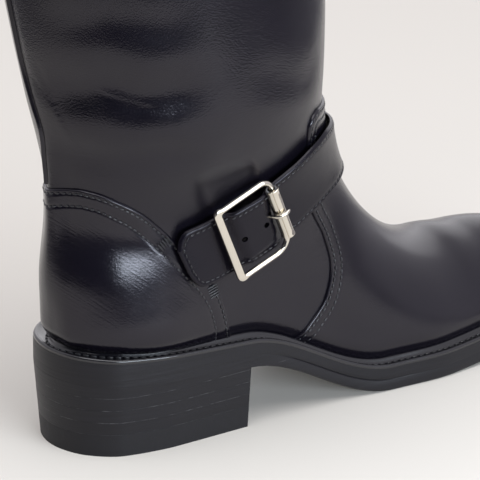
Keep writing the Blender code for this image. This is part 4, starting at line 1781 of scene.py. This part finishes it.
@dataclass
class Buckle:
    """The roller buckle: a frame, a roller on its front bar and a prong."""

    seat: BuckleSeat
    length: float = 29.5
    width: float = 38.6
    bar: float = 1.6
    # Bars at the sides and at the back: half width, half thickness, power of the section
    side_bar: tuple[float, ...] = (1.15, 1.25, 1.0)
    back_bar: tuple[float, ...] = (1.75, 1.1, 0.45)
    back_bar_start: float = 5.0
    back_bar_blend: float = 3.0
    corner_turns: int = 13
    path_samples: int = 241
    bar_turns: int = 25
    roller_length: float = 25.0
    roller_turns: int = 97
    roller_wall_from: float = 2.0
    joint_turn_deg: float = 115.0
    joint_width: float = 0.05
    joint_depth: float = 0.28
    # Section along the roller: share of the half length, radius
    roller_section: Table = (
        (-1.0, 1.75),
        (-1.0, 2.75),
        (-0.985, 2.98),
        (-0.95, 3.0),
        (-0.9, 2.85),
        (-0.8, 2.8),
        (0.0, 2.75),
        (0.8, 2.8),
        (0.9, 2.85),
        (0.95, 3.0),
        (0.985, 2.98),
        (1.0, 2.75),
        (1.0, 1.75),
        (-1.0, 1.75),
    )
    prong_across: float = 0.6
    prong_radius: float = 0.7
    prong_tip: float = 1.1
    prong_flatness: float = 1.15
    prong_rows: int = 60
    prong_turns: int = 21
    # Corners in order: along side, across side, radius
    corners: Table = (
        (1.0, 1.0, 4.2),
        (-1.0, 1.0, 1.6),
        (-1.0, -1.0, 1.8),
        (1.0, -1.0, 8.0),
    )
    # Prong from the strap's hole over the roller: along, out
    prong_path: Table = (
        (7.8, -4.6),
        (8.0, -1.6),
        (9.0, 0.8),
        (10.4, 3.0),
        (11.8, 3.95),
        (13.2, 4.15),
        (14.8, 3.85),
        (16.3, 2.85),
    )

    def frame_path(self) -> Array:
        """Runs the middle line of the frame's bar round its four corners.

        Returns:
            Evenly spaced rows of along and across.
        """
        half_along = self.length / 2 - self.bar
        half_across = self.width / 2 - self.bar
        starts = (0.0, 90.0, 180.0, 270.0)
        path = []
        for (along_side, across_side, radius), start in zip(self.corners, starts):
            for turn in np.radians(np.linspace(start, start + 90.0, self.corner_turns)):
                along = along_side * (half_along - radius) + radius * math.cos(turn)
                across = across_side * (half_across - radius) + radius * math.sin(turn)
                path.append((along, across))
        path.append(path[0])
        path = np.array(path)
        return resample(path, np.linspace(0.0, along_path(path)[-1], self.path_samples))

    def build_frame(self) -> Piece:
        """Models the frame: a flat bar at the back, slim round bars at the sides and front.

        Returns:
            The frame.
        """
        path = self.frame_path()
        tangent = np.roll(path[:-1], -1, axis=0) - np.roll(path[:-1], 1, axis=0)
        tangent = unit(np.concatenate([tangent, tangent[:1]]))
        side = np.stack([tangent[:, 1], -tangent[:, 0]], axis=-1)
        flat = ease((-path[:, 0] - self.length / 2 + self.back_bar_start) / self.back_bar_blend)
        half_wide, half_thick, power = (mix(a, b, flat) for a, b in zip(self.side_bar, self.back_bar))
        rings = []
        for turn in np.linspace(0.0, 2 * math.pi, self.bar_turns):
            cos, sin = math.cos(turn), math.sin(turn)
            wide = half_wide * math.copysign(1.0, cos) * np.abs(cos) ** power
            out = half_thick * math.copysign(1.0, sin) * np.abs(sin) ** power
            plan = path + side * wide[:, None]
            rings.append(np.column_stack([plan, out]))
        return closed_piece("buckle_frame_bar", self.seat.place(np.stack(rings)), angle_deg=50.0)

    def build_roller(self) -> Piece:
        """Models the roller: a wrapped tube with flared ends and the line of its joint.

        Returns:
            The roller.
        """
        axis_along = self.length / 2 - self.bar
        turns = np.linspace(0.0, 2 * math.pi, self.roller_turns)
        joint = bump(turns - math.radians(self.joint_turn_deg), self.joint_width)
        rows = []
        for share, radius in self.roller_section:
            pressed = radius - self.joint_depth * joint * (radius > self.roller_wall_from)
            along = axis_along + pressed * np.cos(turns)
            across = np.full_like(turns, share * self.roller_length / 2)
            rows.append(np.column_stack([along, across, pressed * np.sin(turns)]))
        return closed_piece("buckle_roller_tube", self.seat.place(np.stack(rows)), angle_deg=40.0)

    def build_prong(self) -> Piece:
        """Models the prong: a round bar that bends over the roller and ends in a blunt tip.

        Returns:
            The prong.
        """
        rough = np.array(self.prong_path)
        length = along_path(rough)
        table = [(place, *row) for place, row in zip(length, rough)]
        places = np.linspace(0.0, length[-1], self.prong_rows)
        path = np.stack([smooth_curve(table, 1, places), smooth_curve(table, 2, places)], axis=-1)
        tangent = unit(np.gradient(path, axis=0))
        side = np.stack([-tangent[:, 1], tangent[:, 0]], axis=-1)
        from_tip = length[-1] - places
        near_tip = 1 - np.clip(from_tip / self.prong_tip, 0.0, 1.0)
        round_off = np.sqrt(np.clip(1 - near_tip ** 2, 0.0, 1.0))
        round_off[0] = 0.0
        radius = self.prong_radius * round_off
        rings = []
        for turn in np.linspace(0.0, 2 * math.pi, self.prong_turns):
            plan = path + side * (radius * math.sin(turn))[:, None]
            across = self.prong_across + self.prong_flatness * radius * math.cos(turn)
            rings.append(np.column_stack([plan[:, 0], across, plan[:, 1]]))
        return closed_piece("buckle_prong_bar", self.seat.place(np.stack(rings)))

    def dress(self, finishes: Finishes) -> None:
        """Builds the buckle's three pieces and finishes them.

        Args:
            finishes: The boot's materials.
        """
        finish_piece(self.build_frame(), finishes.pale_gold_plating, "buckle_metal", "buckle_frame")
        finish_piece(self.build_roller(), finishes.pale_gold_plating, "buckle_metal", "buckle_roller")
        finish_piece(self.build_prong(), finishes.pale_gold_plating, "buckle_metal", "buckle_prong")


@dataclass
class Sole:
    """Outsole, welt with its stitches, and insole."""

    face: LeatherFace
    columns: int = 360
    # Foot of the welt against the upper: distance outwards, height
    welt_foot: Table = (
        (-1.2, 0.0),
        (-0.9, 2.2),
    )
    welt_meets: float = 4.0
    welt_sink: float = 0.25
    bead_radius: float = 1.45
    bead_height: float = 4.1
    bead_overlap: float = 0.3
    bead_start_deg: float = 170.0
    bead_end_deg: float = 5.0
    bead_turns: int = 10
    channel_height: float = 3.1
    channel_round: float = 0.2
    channel_start: float = 0.8
    channel_middle: float = 1.1
    lip_height: float = 4.2
    lip_width: float = 2.3
    lip_clearance: float = 1.3
    lip_least: float = 0.7
    lip_foot_rise: float = 0.05
    lip_round: float = 0.95
    lip_reach: float = 0.93
    lip_start_deg: float = 130.0
    lip_turns: int = 9
    lip_inset: float = 0.12
    groove_share: float = 0.66
    groove_depth: float = 0.45
    groove_ahead: float = 0.3
    ahead_start_x: float = 100.0
    ahead_fade: float = 40.0
    heel_fade: float = 30.0
    heel_inset: float = 0.08
    side_rise: float = 2.4
    insole_inset: float = 3.3
    # Side of the insole: height, inset
    insole_side: Table = (
        (0.0, 0.6),
        (0.4, 0.0),
        (2.4, 0.0),
        (2.9, 0.4),
        (3.0, 1.0),
    )
    stitch_sink: float = 0.1
    stitch: SeamRow = SeamRow(inset=0.0, pitch=3.4, length=2.5, radius=0.5)

    def angles(self) -> Array:
        """Gives places round the sole, so that its two sides mirror each other."""
        return (np.arange(self.columns) + 0.5) * 2 * math.pi / self.columns

    def build_outsole(self) -> Piece:
        """Models the outsole, with a fine groove round its side from the waist forward.

        Returns:
            The outsole.
        """
        form = self.face.form
        angle = self.angles()
        groove = self.groove_share
        # Side of the outsole: share of its thickness, inset, share of the groove's depth
        profile = (
            (0.0, 0.9, 0.0),
            (0.03, 0.4, 0.0),
            (0.09, 0.08, 0.0),
            (0.18, 0.0, 0.0),
            (groove - 0.075, 0.0, 0.0),
            (groove - 0.04, 0.0, 0.35),
            (groove, 0.0, 1.0),
            (groove + 0.04, 0.0, 0.35),
            (groove + 0.075, 0.0, 0.0),
            (0.93, 0.0, 0.0),
            (1.0, 0.0, 0.0),
            (1.0 + self.side_rise / form.outsole, 0.0, 0.0),
        )
        rings = []
        for share, inset, groove_part in profile:
            plan = form.sole_edge(angle, inset)
            fade = ease((plan[:, 0] - form.heel_breast_x) / self.heel_fade)
            waist = mix(1.0, self.groove_ahead, ease((plan[:, 0] - self.ahead_start_x) / self.ahead_fade))
            forward = inset + groove_part * self.groove_depth * waist
            plan = form.sole_edge(angle, mix(self.heel_inset * inset, forward, fade))
            rings.append(np.column_stack([plan, form.sole_bottom(plan[:, 0]) + share * form.outsole]))
        return capped_rings("outsole_body", rings, angle_deg=45.0)

    def welt_line(self) -> tuple[Array, Array]:
        """Gives the welt's inner line against the upper and the direction across it.

        Returns:
            Plan points on the upper's face, and the reach from there to the sole's edge.
        """
        form = self.face.form
        angle = self.angles()
        rows = [(row[1], i) for i, row in enumerate(form.levels)]
        level = float(smooth_curve(rows, 1, self.welt_meets))
        top = form.point(angle, np.full_like(angle, level))[:, :2]
        return top, form.sole_edge(angle) - top

    def build_welt(self) -> Piece:
        """Models the welt: a raised bead against the upper, a channel and a rounded lip.

        Returns:
            The welt.
        """
        form = self.face.form
        top, reach = self.welt_line()
        wide = np.linalg.norm(reach, axis=-1)
        across = reach / wide[:, None]
        bead = self.bead_radius
        inner = list(self.welt_foot)
        for turn in np.radians(np.linspace(self.bead_start_deg, self.bead_end_deg, self.bead_turns)):
            out = bead - self.bead_overlap + bead * math.cos(turn)
            inner.append((out, self.bead_height + bead * math.sin(turn)))
        inner.append((2 * bead + self.channel_round, self.channel_height + self.channel_round))
        inner.append((2 * bead + self.channel_start, self.channel_height))
        rows = [(np.full_like(wide, out), height) for out, height in inner]
        lip_start = np.maximum(wide - self.lip_width, 2 * bead + self.lip_clearance)
        lip_start = np.minimum(lip_start, wide - self.lip_least)
        rows.append((lip_start, self.channel_height + self.lip_foot_rise))
        lip_middle = self.lip_height - self.lip_round
        for turn in np.radians(np.linspace(self.lip_start_deg, 0.0, self.lip_turns)):
            out = wide - self.lip_round + self.lip_reach * math.cos(turn)
            rows.append((out, lip_middle + self.lip_round * math.sin(turn)))
        rows.append((wide - self.lip_inset, self.side_rise))
        rows.append((wide - self.lip_inset, 0.0))
        rows.append(rows[0])
        rings = []
        for out, height in rows:
            plan = top + across * out[:, None]
            rings.append(np.column_stack([plan, form.feather(plan[:, 0]) + height - self.welt_sink]))
        grid = np.stack(rings)
        return closed_piece("welt_strip", np.concatenate([grid, grid[:, :1]], axis=1), angle_deg=60.0)

    def build_welt_stitches(self) -> Piece:
        """Models the row of stitches that lies in the welt's channel.

        Returns:
            The stitches as one object.
        """
        form = self.face.form
        top, reach = self.welt_line()
        wide = np.linalg.norm(reach, axis=-1, keepdims=True)
        plan = top + reach / wide * (2 * self.bead_radius + self.channel_middle)
        path = np.column_stack([plan, form.feather(plan[:, 0]) + self.channel_height - self.stitch_sink])
        path = np.concatenate([path, path[:1]])
        stops = even_stops(along_path(path)[-1], self.stitch.pitch)
        tangent = heading(path, stops)
        up = np.broadcast_to(np.array([0.0, 0.0, 1.0]), tangent.shape)
        pattern = Stitcher(self.face).pattern(self.stitch.length, self.stitch.radius)
        return joined_copies("welt_stitches", pattern, resample(path, stops), axes_along(tangent, up))

    def build_insole(self) -> Piece:
        """Models the insole, slightly dished, with rounded edges.

        Returns:
            The insole.
        """
        form = self.face.form
        angle = self.angles()
        foot = form.point(angle, np.zeros_like(angle))
        rings = []
        for height, inset in self.insole_side:
            inset = inset + self.insole_inset
            x = foot[:, 0] - inset * np.cos(angle)
            y = foot[:, 1] + inset * np.sin(angle)
            rings.append(np.column_stack([x, y, form.feather(x) + height]))
        return capped_rings("insole_sock", rings, angle_deg=45.0)

    def dress(self, finishes: Finishes) -> None:
        """Builds the sole's pieces and finishes them.

        Args:
            finishes: The boot's materials.
        """
        finish_piece(self.build_outsole(), finishes.sole_edge_paint, "sole_edge", "outsole")
        finish_piece(self.build_welt(), finishes.welt_paint, "sole_edge", "welt")
        finish_piece(self.build_welt_stitches(), finishes.black_thread, "sole_edge")
        finish_piece(self.build_insole(), finishes.lining_leather, "insole_leather", "insole")


@dataclass
class Heel:
    """The stacked heel: a rubber top lift, three leather lifts and a wedge."""

    form: BootForm
    top_lift: float = 9.8
    lift: float = 5.6
    lift_count: int = 3
    taper: float = 2.6
    widest_x: float = 5.0
    columns: int = 129
    edge_round: float = 0.05
    gap: float = 0.02
    # Edge of a layer from its flat face: rise and inset, in edge roundings
    edge_profile: Table = (
        (0.0, 1.0),
        (0.3, 0.3),
        (1.0, 0.0),
        (3.0, 0.0),
    )
    # How far each layer's side is sanded in, from the top lift up
    sanded: tuple[float, ...] = (0.0, 0.03, 0.0, 0.04, 0.01)

    def ring(self, height: Array, inset: float) -> Array:
        """Gives a ring of the heel: straight breast, rounded back.

        Args:
            height: Height over the floor at each column.
            inset: How far the ring lies inside the heel's side.

        Returns:
            Points of the ring.
        """
        form = self.form
        share = np.linspace(0.0, 1.0, self.columns)
        x = self.columns_x()
        half = round_ended_curve(form.sole_outline, 1, x)
        full_height = form.lifts_height + form.wedge_at_back
        taper = self.taper * np.clip(1 - height / full_height, 0.0, 1.0) + inset
        widest = round_ended_curve(form.sole_outline, 1, self.widest_x)
        y = np.where(share <= 0.5, -half, half) * (widest - taper) / widest
        long = form.heel_breast_x - form.heel_back_x
        pulled = mix(form.heel_breast_x, x, 1 - taper / long) - inset * (1 - np.sin(math.pi * share))
        return np.column_stack([pulled, y, height])

    def columns_x(self) -> Array:
        """Gives the place along the foot of each column of a ring."""
        share = np.linspace(0.0, 1.0, self.columns)
        return mix(self.form.heel_breast_x, self.form.heel_back_x, np.sin(math.pi * share))

    def build_layer(self, name: str, low: Array, high: Array, sanded: float) -> Piece:
        """Models one layer with rounded edges.

        Args:
            name: The piece's name.
            low: Height of its underside at each column.
            high: Height of its top at each column.
            sanded: How far its side is sanded in.

        Returns:
            The layer.
        """
        edge = self.edge_round
        rings = []
        for rise, inset in self.edge_profile:
            rings.append(self.ring(low + rise * edge, sanded + inset * edge))
        for rise, inset in reversed(self.edge_profile):
            rings.append(self.ring(high - rise * edge, sanded + inset * edge))
        return capped_rings(name, rings, angle_deg=40.0)

    def dress(self, finishes: Finishes) -> None:
        """Builds the heel's layers from the floor up and finishes them.

        Args:
            finishes: The boot's materials.
        """
        flat = np.zeros(self.columns)
        layer = self.build_layer("top_lift_layer", flat, flat + self.top_lift - self.gap, self.sanded[0])
        finish_piece(layer, finishes.top_lift_rubber, "top_lift_rubber", "top_lift")
        for number in range(self.lift_count):
            base = flat + self.top_lift + number * self.lift
            top = base + self.lift - self.gap
            layer = self.build_layer(f"heel_lift_layer_{number + 1}", base, top, self.sanded[number + 1])
            finish_piece(layer, finishes.sole_edge_paint, "sole_edge", f"heel_lift_{number + 1}")
        base = flat + self.form.lifts_height
        top = self.form.sole_bottom(self.columns_x()) - self.gap
        layer = self.build_layer("heel_wedge_layer", base, top, self.sanded[-1])
        finish_piece(layer, finishes.sole_edge_paint, "sole_edge", "heel_wedge")


# Studio


def direction_to(azimuth_deg: float, elevation_deg: float) -> Vector:
    """Gives the direction from the boot to a place round it.

    Args:
        azimuth_deg: Turn about the boot, from 0 square to its outer side.
        elevation_deg: Height over the floor, as an angle.

    Returns:
        The direction, of length 1.
    """
    azimuth = math.radians(azimuth_deg)
    elevation = math.radians(elevation_deg)
    flat = math.cos(elevation)
    return Vector((math.sin(azimuth) * flat, -math.cos(azimuth) * flat, math.sin(elevation)))


@dataclass(frozen=True)
class PhotoCamera:
    """Camera at the photograph's viewing angle, worked out from where the boot's origin falls in it."""

    azimuth_deg: float = -34.5
    elevation_deg: float = 23.0
    distance: float = 1600.0
    pixels_per_mm: float = 2.38
    origin_pixel: tuple[float, float] = (125.9, 424.9)

    def add(self) -> None:
        """Adds the camera, aimed at what lies in the middle of the image."""
        azimuth = math.radians(self.azimuth_deg)
        right = Vector((math.cos(azimuth), math.sin(azimuth), 0.0))
        back = direction_to(self.azimuth_deg, self.elevation_deg)
        up = back.cross(right)
        focal_pixels = self.pixels_per_mm * self.distance
        aside = (IMAGE_PIXELS / 2 - self.origin_pixel[0]) / focal_pixels
        above = (self.origin_pixel[1] - IMAGE_PIXELS / 2) / focal_pixels
        aim = (-back + right * aside + up * above).normalized()
        turn = (-back).rotation_difference(aim).to_matrix()
        level = Matrix((right, up, back)).transposed()
        deselect_all()
        bpy.ops.object.camera_add()
        camera = bpy.context.active_object
        camera.name = "photo_camera"
        camera.matrix_world = Matrix.Translation(back * self.distance * MM) @ (turn @ level).to_4x4()
        camera.data.sensor_width = SENSOR_WIDTH
        camera.data.lens = focal_pixels / IMAGE_PIXELS * SENSOR_WIDTH
        bpy.context.scene.camera = camera


@dataclass(frozen=True)
class Softbox:
    """A soft studio light, given by its place, what it faces, its size and its power."""

    name: str
    place: Point
    target: Point
    size: tuple[float, float]
    power: float
    colour: Colour = (1.0, 1.0, 1.0)

    def add(self) -> None:
        """Adds the light."""
        deselect_all()
        bpy.ops.object.light_add(type="AREA", location=self.place)
        light = bpy.context.active_object
        light.name = self.name
        light.data.shape = "RECTANGLE"
        light.data.size = self.size[0]
        light.data.size_y = self.size[1]
        light.data.energy = self.power
        light.data.color = self.colour
        aim = Vector(self.target) - Vector(self.place)
        light.rotation_euler = aim.to_track_quat("-Z", "Y").to_euler()


@dataclass(frozen=True)
class WhiteRoom:
    """A white room with a dim ground that is dark on the side the photographer stands on."""

    white: Colour = (0.74, 0.72, 0.77)
    ground: Colour = (0.30, 0.29, 0.32)
    dark: Colour = (0.03, 0.032, 0.042)
    dark_azimuth_deg: float = -45.0
    dark_elevation_deg: float = 4.0
    dark_core_deg: float = 48.0
    dark_rim_deg: float = 72.0
    horizon: tuple[float, float] = (-0.1, 0.02)

    def add(self) -> None:
        """Makes the room the scene's world."""
        world = bpy.data.worlds.new("white_room")
        world.use_nodes = True
        bench = Bench(world.node_tree)
        towards = tuple(direction_to(self.dark_azimuth_deg, self.dark_elevation_deg))
        direction = bench.add("TexCoord").outputs["Generated"]
        facing = bench.add("VectorMath", {0: direction, 1: towards}, operation="DOT_PRODUCT")
        rim = math.cos(math.radians(self.dark_rim_deg))
        core = math.cos(math.radians(self.dark_core_deg))
        mask = bench.soft_step(facing.outputs["Value"], rim, core)
        height = bench.add("SeparateXYZ", {"Vector": direction}).outputs["Z"]
        walls = bench.blend(bench.soft_step(height, *self.horizon), self.ground, self.white)
        bench.fill(world.node_tree.nodes["Background"], {"Color": bench.blend(mask, walls, self.dark)})
        bpy.context.scene.world = world


@dataclass(frozen=True)
class Studio:
    """Table top, room, soft lights and camera."""

    camera: PhotoCamera
    room: WhiteRoom
    lights: tuple[Softbox, ...]
    # Where the table top ends, in metres, seen from the camera
    front_edge: float = 0.315
    left_edge: float = 0.31
    right_edge: float = 0.38
    depth: float = 4.0

    def add(self, finishes: Finishes) -> None:
        """Adds all of the studio.

        Args:
            finishes: The materials, one of them the table top's.
        """
        turn = math.radians(self.camera.azimuth_deg)
        aside = (self.right_edge - self.left_edge) / 2
        away = self.depth / 2 - self.front_edge
        deselect_all()
        bpy.ops.mesh.primitive_plane_add(size=1.0)
        floor = bpy.context.active_object
        floor.name = "studio_floor"
        floor.scale = (self.left_edge + self.right_edge, self.depth, 1.0)
        floor.rotation_euler = (0.0, 0.0, turn)
        floor.location = (
            math.cos(turn) * aside - math.sin(turn) * away,
            math.sin(turn) * aside + math.cos(turn) * away,
            0.0,
        )
        bpy.ops.object.transform_apply()
        bpy.ops.object.mode_set(mode="EDIT")
        bpy.ops.mesh.subdivide(number_cuts=3)
        bpy.ops.object.mode_set(mode="OBJECT")
        floor.data.materials.append(finishes.pale_floor)
        self.room.add()
        for light in self.lights:
            light.add()
        self.camera.add()
        bpy.context.scene.view_settings.view_transform = "Standard"


# The boot


MARKS = (
    Swell(-8.0, 52.0, Side.OUTER, 34.0, 22.0, 3.6),
    Swell(-9.0, 106.0, Side.OUTER, 36.0, 22.0, -3.6),
    Swell(-8.0, 56.0, Side.OUTER, 26.0, 9.0, 0.5),
    Swell(-11.0, 93.0, Side.OUTER, 22.0, 14.0, -3.0),
    Swell(-8.0, 52.0, Side.INNER, 34.0, 22.0, 2.6),
    Swell(-9.0, 106.0, Side.INNER, 36.0, 22.0, -3.0),
    Crease(
        ((-58.0, 151.0), (-44.0, 157.0), (-30.0, 162.0), (-20.0, 158.0), (-6.0, 160.0), (14.0, 155.0)),
        Side.OUTER, 11.0, 2.8, 0.4,
    ),
    Crease(((-36.0, 159.5), (-26.0, 155.5), (-10.0, 151.5)), Side.OUTER, 1.2, 0.14, 0.1),
    Crease(((-30.0, 155.0), (-21.0, 152.0), (-13.0, 153.0)), Side.OUTER, 1.0, 0.12, 0.08),
    Crease(((-50.0, 186.0), (-32.0, 191.0), (-14.0, 188.0), (4.0, 191.0)), Side.OUTER, 9.0, 1.1, 0.3),
    Crease(((-44.0, 131.0), (-26.0, 129.0), (-8.0, 131.5), (14.0, 128.0)), Side.OUTER, 8.0, 1.5, 0.4),
    Crease(((20.0, 166.0), (45.0, 156.0), (70.0, 150.0)), Side.OUTER, 9.0, 0.6, 0.3),
    Crease(((-40.0, 155.0), (-20.0, 160.0), (6.0, 156.0), (30.0, 159.0)), Side.INNER, 8.0, 1.7, 0.8),
    Crease(((-44.0, 184.0), (-15.0, 190.0), (18.0, 185.0)), Side.INNER, 8.0, 1.0, 0.5),
)

VAMP_EDGE = (
    (61.0, 27.0),
    (73.6, 37.2),
    (82.8, 48.7),
    (85.5, 61.0),
    (81.5, 75.4),
    (74.2, 88.2),
    (68.5, 104.0),
    (65.5, 120.5),
    (65.0, 129.5),
    (67.0, 133.6),
    (71.5, 135.8),
)

COUNTER_EDGE = (
    (36.2, 33.0),
    (33.0, 43.0),
    (27.0, 61.0),
    (22.0, 69.5),
    (13.0, 80.0),
    (0.8, 92.6),
    (-5.2, 97.6),
    (-11.4, 102.6),
    (-20.3, 108.6),
    (-27.8, 113.1),
    (-33.0, 115.0),
)

COUNTER_INNER_DROP = 0.75

COUNTER_TACKS = (
    (-2.6, 91.4, 0.9, 87.2),
    (19.4, 64.6, 24.6, 66.2),
)

SOFTBOXES = (
    Softbox("overhead_softbox", (-0.25, -0.5, 2.0), (0.0, 0.0, 0.0), (2.2, 1.8), 40.0),
    Softbox("back_softbox", (1.26, 0.98, 0.55), (0.15, 0.0, 0.05), (1.5, 0.8), 2.4),
    Softbox("front_panel", (0.05, -0.86, 0.25), (-0.01, -0.03, 0.08), (0.75, 0.2), 8.5, (0.80, 0.90, 1.0)),
)


def main() -> None:
    """Dresses the boot and sets up the studio."""
    logging.basicConfig(level=logging.INFO, format="%(name)s: %(message)s")
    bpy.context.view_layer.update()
    finishes = Finishes.mix_all()
    form = BootForm()
    face = LeatherFace(form, MARKS)
    seat = BuckleSeat()
    Studio(PhotoCamera(), WhiteRoom(), SOFTBOXES).add(finishes)
    Upper(face).dress(finishes)
    vamp_seams = (SeamRow(inset=2.0), SeamRow(inset=5.8))
    Panel("vamp_panel", "vamp", face, Middle.FRONT, VAMP_EDGE, vamp_seams).dress(finishes)
    counter_seams = (SeamRow(inset=1.9), SeamRow(inset=7.4))
    counter = Panel("counter_panel", "counter", face, Middle.BACK, COUNTER_EDGE, counter_seams)
    counter.inner_drop = COUNTER_INNER_DROP
    counter.tacks = COUNTER_TACKS
    counter.dress(finishes)
    Strap(face, seat).dress(finishes)
    Buckle(seat).dress(finishes)
    Sole(face).dress(finishes)
    Heel(form).dress(finishes)


if __name__ == "__main__":
    main()
